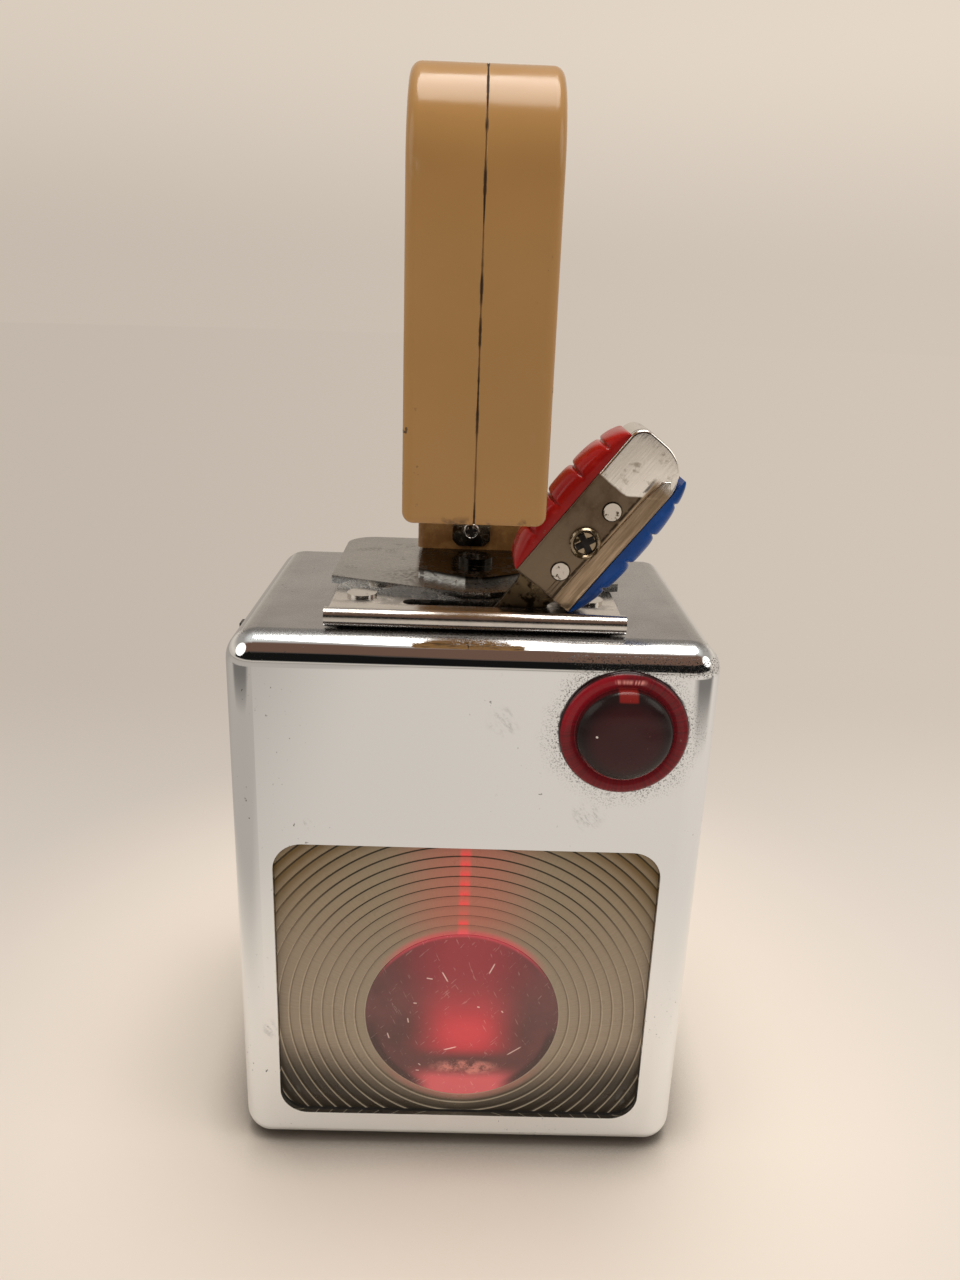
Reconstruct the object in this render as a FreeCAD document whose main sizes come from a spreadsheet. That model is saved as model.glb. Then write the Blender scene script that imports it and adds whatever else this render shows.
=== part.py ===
"""Railway signal lamp: a chrome-plated box with a Fresnel window, a hooked carrying handle
and a two-coloured signal lever that swings a red or a blue filter in front of the bulb.

Millimetres. +X is to the right of someone who faces the window, -Y is the window side, +Z is up.
The origin is the centre of the flat underside that the lamp stands on.
"""
import FreeCAD, Part
import Sketcher
import math
import os
import re

from FreeCAD import Placement, Rotation, Vector

doc = FreeCAD.newDocument("railway_signal_lamp")

# Driving dimensions
SIZES = [
    ("body_width", 112.0, "box, side to side"),
    ("body_depth", 84.0, "box, front to back"),
    ("body_height", 140.0, "box, underside to top"),
    ("body_radius", 7.0, "outside rounding of every edge of the box"),
    ("body_wall", 1.2, "sheet of the box"),
    ("seat_gap", 0.2, "gap round a loosely set plate or disc"),
    ("window_side", 10.0, "edge of the lens window inside the side of the box"),
    ("window_height", 79.0, "lens window"),
    ("window_bottom", 10.0, "lower edge of the window above the underside"),
    ("window_radius", 7.0, "corner of the window"),
    ("lens_overlap", 1.7, "lens behind the rim of the window, each side"),
    ("lens_gasket_depth", 0.8, "rubber frame between the rim and the lens"),
    ("lens_plate", 1.6, "clear plate that carries the rings"),
    ("optic_height", 39.5, "axis of the bull's eye above the underside"),
    ("bullseye_radius", 24.3, "round middle of the lens"),
    ("bullseye_rise", 2.4, "bulge of the round middle"),
    ("ring_pitch", 2.75, "spacing of the lens rings"),
    ("ring_rise", 0.9, "height of one lens ring"),
    ("ring_count", 15, "rings outside the round middle"),
    ("lens_frame_depth", 1.2, "frame that presses on the lens from behind"),
    ("lens_frame_rim", 3.4, "width of that frame"),
    ("lens_tab_width", 24.0, "bent tab of the frame on each side wall"),
    ("lens_tab_sheet", 1.0, "sheet of the tab"),
    ("lens_tab_foot", 10.0, "length of the tab on the side wall"),
    ("lens_tab_gap", 0.4, "gap between the tab and the side wall"),
    ("marker_side", 21.9, "small red lens, axis inside the side of the box"),
    ("marker_drop", 20.0, "small red lens, axis below the top of the box"),
    ("marker_radius", 14.7, "flange of the small red lens"),
    ("marker_flange", 2.0, "thickness of that flange"),
    ("marker_dome_radius", 11.0, "domed middle of the small red lens"),
    ("marker_dome_rise", 4.0, "bulge of the dome"),
    ("marker_neck_radius", 11.7, "neck of the small red lens in the wall"),
    ("marker_neck_length", 4.4, "length of that neck"),
    ("marker_bore", 6.0, "hollow behind the dome"),
    ("ring_nut_radius", 13.0, "nut behind the wall"),
    ("ring_nut_depth", 2.0, "thickness of that nut"),
    ("plate_sheet", 1.2, "slotted guide plate"),
    ("pad_thickness", 1.2, "sealing pad between the box and the guide plate"),
    ("guide_width", 68.0, "guide plate, side to side"),
    ("guide_back", 16.0, "rear edge of the guide plate behind the middle"),
    ("bead_radius", 2.2, "rolled front edge of the guide plate"),
    ("bead_bore", 1.1, "hollow of the rolled edge"),
    ("bead_setback", 8.5, "axis of the rolled edge behind the front of the box"),
    ("bead_lift", 0.3, "gap between the rolled edge and the box"),
    ("slot_width", 4.4, "slot that the lever swings in"),
    ("slot_play", 0.6, "gap between the lever and each end of the slot"),
    ("slot_ease", 0.4, "extra room round the slot in the layers below"),
    ("slot_flat", 0.03, "flat left between the rounds of a slot's end"),
    ("guide_rivet_x", 27.4, "rivets of the guide plate, from the middle"),
    ("guide_rivet_y", -15.2, "rivets of the guide plate"),
    ("guide_rivet_head", 3.6, "radius of the flat rivet head"),
    ("guide_rivet_shank", 1.5, "radius of its shank"),
    ("rivet_head_height", 0.7, "height of a flat rivet head"),
    ("mount_width", 72.0, "V-nosed handle plate"),
    ("mount_sheet", 2.0, "its thickness"),
    ("mount_nose_y", -17.0, "its nose"),
    ("mount_nose_width", 7.2, "flat of its nose"),
    ("mount_corner_y", -5.5, "its front corners"),
    ("mount_back_y", 38.0, "its rear edge"),
    ("mount_radius", 8.0, "its rear corners"),
    ("spacer_front_y", 18.0, "spacer under the rear of the handle plate"),
    ("spacer_back_y", 34.0, "rear edge of that spacer"),
    ("spacer_width", 60.0, "width of that spacer"),
    ("foot_width", 28.8, "small V-nosed foot of the handle"),
    ("foot_sheet", 1.8, "its thickness"),
    ("foot_nose_y", -9.7, "its nose"),
    ("foot_nose_width", 5.0, "flat of its nose"),
    ("foot_corner_y", -2.6, "its front corners"),
    ("foot_rivet_y", 5.8, "large rivet that shows on the foot"),
    ("foot_rivet_head", 4.5, "radius of its head"),
    ("foot_rivet_head_height", 1.6, "height of its head"),
    ("foot_rivet_shank", 2.5, "radius of its shank"),
    ("foot_rivet_tail", 4.0, "radius of its peened tail"),
    ("stud_x", 8.5, "screws up into the handle, from the middle"),
    ("stud_y", 27.0, "the same, behind the middle"),
    ("stud_shank", 1.4, "radius of those screws"),
    ("stud_head", 2.8, "radius of their heads"),
    ("stud_head_height", 2.0, "height of their heads"),
    ("stud_reach", 12.0, "length of the screws in the handle"),
    ("handle_shift", -1.2, "handle, left of the middle"),
    ("handle_width", 29.0, "handle, side to side"),
    ("handle_top", 253.5, "top of the handle above the underside"),
    ("handle_front_y", -52.0, "front of the hanging grip"),
    ("grip_depth", 14.0, "hanging grip, front to back"),
    ("grip_bottom", 168.2, "lower end of the hanging grip"),
    ("bar_height", 15.0, "bar across the top"),
    ("leg_front_y", 19.0, "front of the rear leg"),
    ("leg_depth", 15.0, "rear leg, front to back"),
    ("handle_bend", 20.0, "outer bend of the handle"),
    ("handle_inner_bend", 8.0, "inner bend of the handle"),
    ("handle_end_round", 1.6, "rounding of the free end"),
    ("handle_edge_round", 2.2, "rounding along the sides"),
    ("handle_seam_round", 0.25, "rounding along the seam of the two halves"),
    ("core_sheet", 3.0, "steel strip inside the handle"),
    ("core_width", 12.0, "its width"),
    ("core_end_gap", 10.0, "strip ends above the free end"),
    ("core_bend", 12.0, "outer bend of the strip"),
    ("leg_screw_height", 5.3, "screw of the leg above the foot"),
    ("leg_screw_head", 2.2, "radius of its head"),
    ("leg_screw_head_height", 0.9, "height of its head"),
    ("leg_screw_shank", 1.2, "radius of its shank"),
    ("washer_width", 10.2, "plate under that screw"),
    ("washer_height", 8.4, "height of that plate"),
    ("washer_sheet", 0.8, "thickness of that plate"),
    ("washer_chamfer", 1.6, "cut corners of that plate"),
    ("cross_screw_head", 2.6, "head radius of the two screws across the handle"),
    ("cross_screw_head_depth", 1.8, "height of their heads"),
    ("cross_screw_shank", 1.6, "radius of their shanks"),
    ("cross_screw_play", 0.8, "gap between those screws and the steel strip"),
    ("cross_screw_height", 30.0, "lower of those screws above the free end"),
    ("cross_screw_skin", 3.0, "plastic left beyond the end of those screws"),
    ("lever_y", -20.0, "plane of the lever"),
    ("lever_drop", 11.7, "lever pivot below the top of the box"),
    ("lever_tilt", 37.5, "lean of the lever at either end of its travel"),
    ("lever_sheet", 2.0, "lever plate"),
    ("lever_neck_width", 9.2, "lever plate in the slot"),
    ("lever_neck_start", 6.0, "start of the neck above the pivot"),
    ("lever_neck_end", 21.8, "end of the neck above the pivot"),
    ("lever_tail_width", 10.0, "lever plate below the pivot"),
    ("lever_tail_end", 15.2, "end of the tail below the pivot"),
    ("pivot_radius", 2.0, "lever pivot pin"),
    ("pin_clearance", 0.06, "radial play of a pivot"),
    ("knob_start", 25.2, "lower end of the lever head above the pivot"),
    ("knob_end", 67.7, "upper end of the lever head above the pivot"),
    ("knob_width", 16.0, "metal channel of the lever head"),
    ("knob_front", 8.0, "channel in front of the lever plane"),
    ("knob_back", 8.0, "channel behind the lever plane"),
    ("knob_sheet", 1.0, "sheet of the channel"),
    ("knob_top_round", 7.5, "rounded top corners of the channel"),
    ("knob_lid_sheet", 1.0, "rear cover of the channel"),
    ("filler_wall", 1.4, "filler between the lever plate and the channel"),
    ("grip_start", 25.2, "lower end of the coloured grips"),
    ("grip_end", 64.4, "upper end of the coloured grips"),
    ("grip_thickness", 5.0, "coloured grip at its middle"),
    ("grip_shoulder", 4.2, "coloured grip nearer its ends"),
    ("grip_tip", 1.2, "coloured grip at its ends"),
    ("grip_notch", 1.1, "radius of the notches across a grip"),
    ("grip_notch_depth", 0.8, "depth of those notches"),
    ("grip_notch_first", 8.6, "first notch above the end of the grip"),
    ("grip_notch_pitch", 8.3, "spacing of the notches"),
    ("grip_notch_count", 4, "notches across a grip"),
    ("grip_inset", 0.6, "grips set back from the front of the channel"),
    ("lever_screw_reach", 39.8, "screw of the lever head above the pivot"),
    ("lever_screw_head", 3.7, "radius of its head"),
    ("lever_screw_height", 0.9, "height of its head"),
    ("lever_screw_shank", 1.9, "radius of its shank"),
    ("lever_rivet_low", 31.3, "lower rivet above the pivot"),
    ("lever_rivet_high", 49.0, "upper rivet above the pivot"),
    ("lever_rivet_head", 2.0, "radius of the flush rivet heads"),
    ("lever_rivet_shank", 1.2, "radius of the rivet shanks"),
    ("flush_height", 0.2, "height of a flush rivet head"),
    ("bore_margin", 4.0, "bore drawn beyond each face of the lever head"),
    ("bracket_sheet", 1.2, "sheet of the lever bracket"),
    ("bracket_width", 20.0, "legs of the bracket"),
    ("bracket_web_width", 64.0, "web of the bracket"),
    ("bracket_front", 6.2, "outside of the front leg before the lever plane"),
    ("bracket_back", 7.2, "outside of the rear leg behind the lever plane"),
    ("bracket_foot", 6.0, "legs below the carrier pivot"),
    ("running_gap", 0.3, "gap beside a moving plate"),
    ("boss_radius", 2.9, "bosses of the bracket round the pivot pins"),
    ("link_distance", 27.9, "carrier pivot below the lever pivot"),
    ("link_pin_radius", 1.5, "pin of the lever in the carrier's slot"),
    ("link_play", 0.85, "gap beside that pin in the slot"),
    ("carrier_gap", 1.5, "carrier plate behind the lever plate"),
    ("carrier_sheet", 1.2, "carrier plate"),
    ("carrier_pivot_radius", 1.5, "carrier pivot pin"),
    ("carrier_arm_width", 8.0, "arms of the carrier"),
    ("carrier_top", 24.2, "slotted arm above its pivot"),
    ("carrier_top_width", 9.6, "slotted arm"),
    ("carrier_hub", 7.0, "radius of the hub"),
    ("filter_radius", 13.0, "coloured glass discs"),
    ("filter_sheet", 1.2, "their thickness"),
    ("filter_view", 11.5, "clear opening of a filter"),
    ("filter_rim", 1.2, "carrier ring outside a filter"),
    ("filter_rim_sheet", 0.8, "lip before a filter"),
    ("bulkhead_y", -12.0, "front of the partition"),
    ("bulkhead_sheet", 1.2, "partition"),
    ("reflector_radius", 32.0, "mouth of the reflector"),
    ("reflector_flange", 3.0, "flat rim of the reflector"),
    ("reflector_sheet", 0.8, "sheet of the reflector"),
    ("reflector_focus", 12.0, "focal length of the reflector"),
    ("reflector_hole", 7.0, "hole for the bulb"),
    ("socket_radius", 6.6, "bulb holder"),
    ("socket_length", 13.0, "bulb holder"),
    ("bulb_radius", 5.5, "glass of the bulb"),
    ("bulb_cap_radius", 4.8, "screw cap of the bulb"),
    ("bulb_cap_length", 9.0, "screw cap of the bulb"),
    ("marker_socket_radius", 6.6, "holder of the small bulb"),
    ("marker_socket_length", 10.0, "holder of the small bulb"),
    ("marker_bulb_radius", 4.4, "glass of the small bulb"),
    ("bulb_neck", 0.6, "neck of a bulb, as a share of its glass"),
    ("cell_radius", 13.0, "battery cell"),
    ("cell_length", 49.0, "battery cell"),
    ("cell_nub_radius", 3.5, "positive pole of a cell"),
    ("cell_nub_height", 1.5, "positive pole of a cell"),
    ("cell_count", 3, "battery cells side by side"),
    ("cell_gap", 0.4, "gap between the cells"),
    ("cell_y", 24.0, "row of cells behind the middle"),
    ("cell_drop", 37.0, "middle of the cells below the top of the box"),
    ("shelf_sheet", 1.6, "shelf and contact board"),
    ("contact_sheet", 0.5, "contact strips"),
    ("contact_width", 10.4, "contact strips"),
    ("contact_play", 0.3, "gap between a pole and its strip"),
    ("door_side", 6.0, "door edge inside the side of the box"),
    ("door_margin", 7.0, "door edge from the underside and the top"),
    ("door_sheet", 1.2, "rear door"),
    ("door_gap", 0.3, "gap between the door and the box"),
    ("door_radius", 6.0, "corners of the door"),
    ("door_overlap", 3.0, "door over the rim of the opening"),
    ("door_rim_depth", 3.4, "rim that enters the opening"),
    ("door_rim_gap", 1.0, "gap between that rim and the opening"),
    ("hinge_x", 1.5, "hinge axis inside the side of the box"),
    ("hinge_y", 3.8, "hinge axis behind the back of the box"),
    ("knuckle_radius", 2.4, "hinge knuckles"),
    ("hinge_pin_radius", 1.2, "hinge pin"),
    ("hinge_leaf", 1.2, "sheet of the hinge leaves"),
    ("hinge_length", 80.0, "hinge"),
    ("hinge_bottom", 30.0, "lower end of the hinge above the underside"),
    ("pull_width", 6.0, "finger tab of the door"),
    ("pull_height", 24.0, "finger tab of the door"),
    ("pull_depth", 5.0, "finger tab of the door"),
    ("catch_height", 10.0, "spring catch of the door"),
    ("catch_gap", 1.4, "gap between the catch and the shelf of the cells"),
    ("catch_sheet", 1.0, "sheet of the spring catch"),
    ("catch_length", 14.0, "spring catch along the side wall"),
    ("catch_nose", 1.6, "nose that bears on the rim of the door"),
    ("switch_y", 10.0, "switch behind the middle"),
    ("switch_drop", 24.0, "switch below the top of the box"),
    ("switch_knob_radius", 8.0, "switch knob"),
    ("switch_knob_length", 6.5, "switch knob"),
    ("switch_shaft_radius", 2.0, "shaft of the switch"),
    ("switch_body_side", 15.0, "switch housing"),
    ("switch_body_depth", 9.0, "switch housing"),
]

sheet = doc.addObject("Spreadsheet::Sheet", "Sizes")
for row, (alias, value, meaning) in enumerate(SIZES, start=1):
    sheet.set(f"A{row}", meaning)
    sheet.set(f"B{row}", str(value))
    sheet.setAlias(f"B{row}", alias)
doc.recompute()

ALIASES = {alias for alias, _, _ in SIZES}
AXES = ("x", "y", "z")
NODES = {}
NEAR = 0.01  # two places this close are the same place
ROUGH_RADIUS = 10  # a sketch starts as a circle of points, and its sizes then move them


def link(expression):
    """Write each size that an expression names as a cell of the sheet."""
    return re.sub(r"[a-z_]+", lambda word: "Sizes." + word.group()
                  if word.group() in ALIASES else word.group(), str(expression))


def size(alias):
    return float(sheet.get(alias))


def place(item, position, turn=None):
    """Bind a placement to sizes. turn is an (axis, angle) pair."""
    if turn:
        axis, angle = turn
        item.Placement = Placement(Vector(), Rotation(axis, 1))
        item.setExpression("Placement.Rotation.Angle", link(angle))
    for axis_name, value in zip(AXES, position):
        item.setExpression(f".Placement.Base.{axis_name}", link(value))
    return item


def block(name, lengths, corner):
    item = doc.addObject("Part::Box", name)
    for side, value in zip(("Length", "Width", "Height"), lengths):
        item.setExpression(side, link(value))
    return place(item, corner)


TURNS = {
    "x": Rotation(Vector(0, 1, 0), 90),
    "y": Rotation(Vector(1, 0, 0), -90),
    "z": Rotation(),
}


def rod(name, radius, length, start, axis="z"):
    """A cylinder that grows from its start along +X, +Y or +Z."""
    item = doc.addObject("Part::Cylinder", name)
    item.setExpression("Radius", link(radius))
    item.setExpression("Height", link(length))
    item.Placement = Placement(Vector(), TURNS[axis])
    return place(item, start)


def ball(name, radius, centre):
    item = doc.addObject("Part::Sphere", name)
    item.setExpression("Radius", link(radius))
    return place(item, centre)


def fuse(name, *items):
    item = doc.addObject("Part::MultiFuse", name)
    item.Shapes = list(items)
    item.Refine = True
    return item


def cut(name, base, *tools):
    item = doc.addObject("Part::Cut", name)
    item.Base = base
    item.Tool = tools[0] if len(tools) == 1 else fuse(name + "_openings", *tools)
    item.Refine = True
    return item


def common(name, first, second):
    item = doc.addObject("Part::Common", name)
    item.Base = first
    item.Tool = second
    item.Refine = True
    return item


PLANES = {"top": "XY_Plane", "front": "XZ_Plane", "side": "YZ_Plane"}


def outline(body, name, plane, corners):
    """A closed sketch of straight lines, with each corner bound to sizes."""
    sketch = body.newObject("Sketcher::SketchObject", name)
    origin = [item for item in body.Origin.OriginFeatures if item.Role == PLANES[plane]][0]
    sketch.AttachmentSupport = [(origin, "")]
    sketch.MapMode = "FlatFace"
    count = len(corners)
    turn = 2 * math.pi / count
    rough = [Vector(ROUGH_RADIUS * math.cos(turn * i), ROUGH_RADIUS * math.sin(turn * i), 0)
             for i in range(count)]
    for i in range(count):
        sketch.addGeometry(Part.LineSegment(rough[i], rough[(i + 1) % count]), False)
    for i in range(count):
        sketch.addConstraint(Sketcher.Constraint("Coincident", i, 2, (i + 1) % count, 1))
    for i, corner in enumerate(corners):
        for kind, value, start in zip(("DistanceX", "DistanceY"), corner, rough[i]):
            index = sketch.addConstraint(Sketcher.Constraint(kind, -1, 1, i, 1, start))
            sketch.setExpression(f"Constraints[{index}]", link(value))
    return sketch


def pad(name, plane, corners, thickness, offset=0, rounds=()):
    """A flat piece with a straight-sided outline. rounds is a list of (edge test, radius)."""
    body = doc.addObject("PartDesign::Body", name)
    sketch = outline(body, name + "_outline", plane, corners)
    feature = body.newObject("PartDesign::Pad", name + "_pad")
    feature.Profile = sketch
    feature.setExpression("Length", link(thickness))
    feature.Reversed = plane == "front"
    sketch.Visibility = False
    axis = {"top": 2, "front": 1, "side": 0}[plane]
    position = [0, 0, 0]
    position[axis] = offset
    place(body, position)
    return soften(body, feature, rounds)


def soften(body, feature, rounds):
    """Round the edges that pass a test, one fillet for each radius."""
    for number, (test, radius) in enumerate(rounds, start=1):
        doc.recompute()
        names = [f"Edge{i}" for i, edge in enumerate(feature.Shape.Edges, start=1) if test(edge)]
        fillet = body.newObject("PartDesign::Fillet", f"{body.Name}_round{number}")
        fillet.Base = (feature, names)
        fillet.setExpression("Radius", link(radius))
        feature = fillet
    body.Tip = feature
    return body


def along(direction):
    """An edge test: straight and parallel to X, Y or Z."""
    axis = Vector(*[1 if name == direction else 0 for name in AXES])

    def test(edge):
        if not isinstance(edge.Curve, Part.Line):
            return False
        return abs(edge.tangentAt(edge.FirstParameter).dot(axis)) > 0.999

    return test


def any_edge(edge):
    return True


def panel(name, lengths, corner, radius, direction):
    """A box whose edges along one direction are rounded."""
    body = doc.addObject("PartDesign::Body", name)
    feature = body.newObject("PartDesign::AdditiveBox", name + "_box")
    for side, value in zip(("Length", "Width", "Height"), lengths):
        feature.setExpression(side, link(value))
    place(body, corner)
    test = any_edge if direction == "all" else along(direction)
    return soften(body, feature, [(test, radius)])


def node(name, item):
    """Keep a finished piece under the name of its file."""
    item.Label = name
    NODES[name] = item
    return item


# Places that several pieces share
WINDOW_WIDTH = "(body_width - 2 * window_side)"
FRONT = "(-body_depth / 2)"
BACK = "(body_depth / 2)"
INSIDE_FRONT = "(-body_depth / 2 + body_wall)"
INSIDE_TOP = "(body_height - body_wall)"
PAD_TOP = "(body_height + pad_thickness)"
GUIDE_TOP = "(body_height + pad_thickness + plate_sheet)"
MOUNT_TOP = "(body_height + pad_thickness + plate_sheet + mount_sheet)"
FOOT_TOP = "(body_height + pad_thickness + plate_sheet + mount_sheet + foot_sheet)"
PIVOT_Z = "(body_height - lever_drop)"
CARRIER_Z = "(body_height - lever_drop - link_distance)"
SLOT_REACH = ("(lever_neck_width / 2 / cos(lever_tilt)"
              " + (lever_drop + pad_thickness + plate_sheet) * tan(lever_tilt) + slot_play)")
MARKER_X = "(body_width / 2 - marker_side)"
MARKER_Z = "(body_height - marker_drop)"
SWITCH_Z = "(body_height - switch_drop)"
DOOR_WIDTH = "(body_width - 2 * door_side)"
OPENING_HALF = f"({DOOR_WIDTH} / 2 - door_overlap)"
OPENING_LOW = "(door_margin + door_overlap)"
OPENING_HIGH = "(body_height - door_margin - door_overlap)"
FILTER_REACH = "(body_height - lever_drop - link_distance - optic_height)"
LINK_REACH = ("(link_distance * tan(lever_tilt / 2)"
              " / (sin(lever_tilt) + cos(lever_tilt) * tan(lever_tilt / 2)))")
SIDES = {"left": -1, "right": 1}


# The drawn box, open at the back, with its window, lens hole and top slot
def make_shell():
    outer = panel("shell_outside", ("body_width", "body_depth", "body_height"),
                  ("-body_width / 2", "-body_depth / 2", 0), "body_radius", "all")
    inner = panel("shell_inside",
                  ("body_width - 2 * body_wall", "body_depth - 2 * body_wall",
                   "body_height - 2 * body_wall"),
                  ("-body_width / 2 + body_wall", INSIDE_FRONT, "body_wall"),
                  "body_radius - body_wall", "all")
    window = panel("window_hole", (WINDOW_WIDTH, "2 * body_wall", "window_height"),
                   (f"-{WINDOW_WIDTH} / 2", f"{FRONT} - body_wall / 2", "window_bottom"),
                   "window_radius", "y")
    doorway = panel("door_hole",
                    (f"2 * {OPENING_HALF}", "2 * body_wall", f"{OPENING_HIGH} - {OPENING_LOW}"),
                    (f"-{OPENING_HALF}", f"{BACK} - 3 * body_wall / 2", OPENING_LOW),
                    "door_radius", "y")
    marker = rod("marker_hole", "marker_neck_radius + seat_gap", "2 * body_wall",
                 (MARKER_X, f"{FRONT} - body_wall / 2", MARKER_Z), "y")
    slot = slot_tool("shell_slot", "body_height - 2 * body_wall", "3 * body_wall", "slot_ease")
    switch = rod("switch_hole", "switch_shaft_radius + pin_clearance", "2 * body_wall",
                 ("-body_width / 2 - body_wall / 2", "switch_y", SWITCH_Z), "x")
    holes = top_holes("shell", "body_height - 2 * body_wall", "3 * body_wall")
    shell = cut("body_shell", outer, inner, window, doorway, marker, slot, switch, *holes)
    node("body_shell", shell)


def slot_tool(name, bottom, height, extra):
    """The round-ended slot of the lever, a little wider in the layers under the guide plate."""
    reach = f"({SLOT_REACH} + {extra})"
    wide = f"(slot_width + 2 * {extra})"
    return panel(name, (f"2 * {reach}", wide, height),
                 (f"-{reach}", f"lever_y - {wide} / 2", bottom),
                 f"{wide} / 2 - slot_flat", "z")


def top_holes(name, bottom, height, layers=("rivets", "foot", "studs")):
    """Holes for what is fixed through the top of the box."""
    tools = []
    if "rivets" in layers:
        for side, sign in SIDES.items():
            tools.append(rod(f"{name}_rivet_hole_{side}", "guide_rivet_shank", height,
                             (f"{sign} * guide_rivet_x", "guide_rivet_y", bottom)))
    if "foot" in layers:
        tools.append(rod(f"{name}_foot_hole", "foot_rivet_shank", height,
                         (0, "foot_rivet_y", bottom)))
    if "studs" in layers:
        for side, sign in SIDES.items():
            tools.append(rod(f"{name}_stud_hole_{side}", "stud_shank", height,
                             (f"handle_shift + {sign} * stud_x", "stud_y", bottom)))
    return tools


# The stepped lens with its rubber frame, pressing frame and clips
def make_lens():
    width = f"({WINDOW_WIDTH} + 2 * lens_overlap)"
    height = "(window_height + 2 * lens_overlap)"
    low = "(window_bottom - lens_overlap)"
    radius = "window_radius"
    gasket = panel("lens_gasket_block", (width, "lens_gasket_depth", height),
                   (f"-{width} / 2", INSIDE_FRONT, low), radius, "y")
    gasket_hole = panel("lens_gasket_hole", (WINDOW_WIDTH, "3 * lens_gasket_depth", "window_height"),
                        (f"-{WINDOW_WIDTH} / 2", f"{INSIDE_FRONT} - lens_gasket_depth", "window_bottom"),
                        radius, "y")
    node("lens_gasket", cut("lens_gasket", gasket, gasket_hole))

    front = f"({INSIDE_FRONT} + lens_gasket_depth)"
    back = f"({front} + lens_plate)"
    plate = panel("lens_plate_block", (width, "lens_plate", height),
                  (f"-{width} / 2", front, low), radius, "y")
    rings = doc.addObject("Part::Feature", "lens_rings")
    rings.Shape = lens_rings()
    rings.Placement = Placement(Vector(0, back_of_lens(), size("optic_height")), Rotation())
    view = panel("lens_view", (f"{WINDOW_WIDTH} - 2 * seat_gap", "lens_plate + 4 * bullseye_rise",
                               "window_height - 2 * seat_gap"),
                 (f"-{WINDOW_WIDTH} / 2 + seat_gap", f"{back} - lens_plate / 2",
                  "window_bottom + seat_gap"), radius, "y")
    node("fresnel_lens", fuse("fresnel_lens", plate, common("lens_steps", rings, view)))

    frame = panel("lens_frame_block", (width, "lens_frame_depth", height),
                  (f"-{width} / 2", f"{back} + ring_rise + seat_gap", low), radius, "y")
    frame_hole = panel("lens_frame_hole",
                       (f"{width} - 2 * lens_frame_rim", "6 * lens_frame_depth",
                        f"{height} - 2 * lens_frame_rim"),
                       (f"-{width} / 2 + lens_frame_rim", f"{back} - 2 * lens_frame_depth",
                        f"{low} + lens_frame_rim"), "window_radius - lens_frame_rim / 2", "y")
    tab_y = f"({back} + ring_rise + seat_gap + lens_frame_depth)"
    reach = f"(body_width / 2 - body_wall - lens_tab_gap - {width} / 2 + lens_frame_rim / 2)"
    low_z = "(window_bottom + window_height / 2 - lens_tab_width / 2)"
    tabs = []
    for side, sign in SIDES.items():
        wall_x = f"{sign} * (body_width / 2 - body_wall - lens_tab_gap)"
        on_right = (1 + sign) // 2
        tabs.append(block(f"lens_tab_{side}", (reach, "lens_tab_sheet", "lens_tab_width"),
                          (f"{wall_x} - {on_right} * {reach}", tab_y, low_z)))
        tabs.append(block(f"lens_tab_{side}_foot", ("lens_tab_sheet", "lens_tab_foot", "lens_tab_width"),
                          (f"{wall_x} - {on_right} * lens_tab_sheet", tab_y, low_z)))
    node("lens_frame", fuse("lens_frame", cut("lens_frame_ring", frame, frame_hole), *tabs))


def back_of_lens():
    return (-size("body_depth") / 2 + size("body_wall") + size("lens_gasket_depth")
            + size("lens_plate"))


def lens_rings():
    """Saw-tooth rings round a low dome, turned about the optical axis."""
    bulge = size("bullseye_rise")
    middle = size("bullseye_radius")
    pitch = size("ring_pitch")
    rise = size("ring_rise")
    count = int(size("ring_count"))
    sphere_radius = (middle * middle + bulge * bulge) / (2 * bulge)
    half_angle = math.asin(middle / sphere_radius) / 2
    halfway = Vector(sphere_radius * math.sin(half_angle),
                     bulge - sphere_radius * (1 - math.cos(half_angle)), 0)
    root = Vector(0, 0, 0)
    edges = [Part.LineSegment(root, Vector(0, bulge, 0)).toShape()]
    edges.append(Part.Arc(Vector(0, bulge, 0), halfway, Vector(middle, 0, 0)).toShape())
    last = Vector(middle, 0, 0)
    for ring in range(count):
        crest = Vector(middle + ring * pitch, rise, 0)
        foot = Vector(middle + (ring + 1) * pitch, 0, 0)
        edges.append(Part.LineSegment(last, crest).toShape())
        edges.append(Part.LineSegment(crest, foot).toShape())
        last = foot
    rim = Vector(last.x, -size("lens_plate") / 2, 0)
    floor = Vector(0, rim.y, 0)
    edges.append(Part.LineSegment(last, rim).toShape())
    edges.append(Part.LineSegment(rim, floor).toShape())
    edges.append(Part.LineSegment(floor, root).toShape())
    return Part.Face(Part.Wire(edges)).revolve(Vector(), Vector(0, 1, 0), 360)


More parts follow.
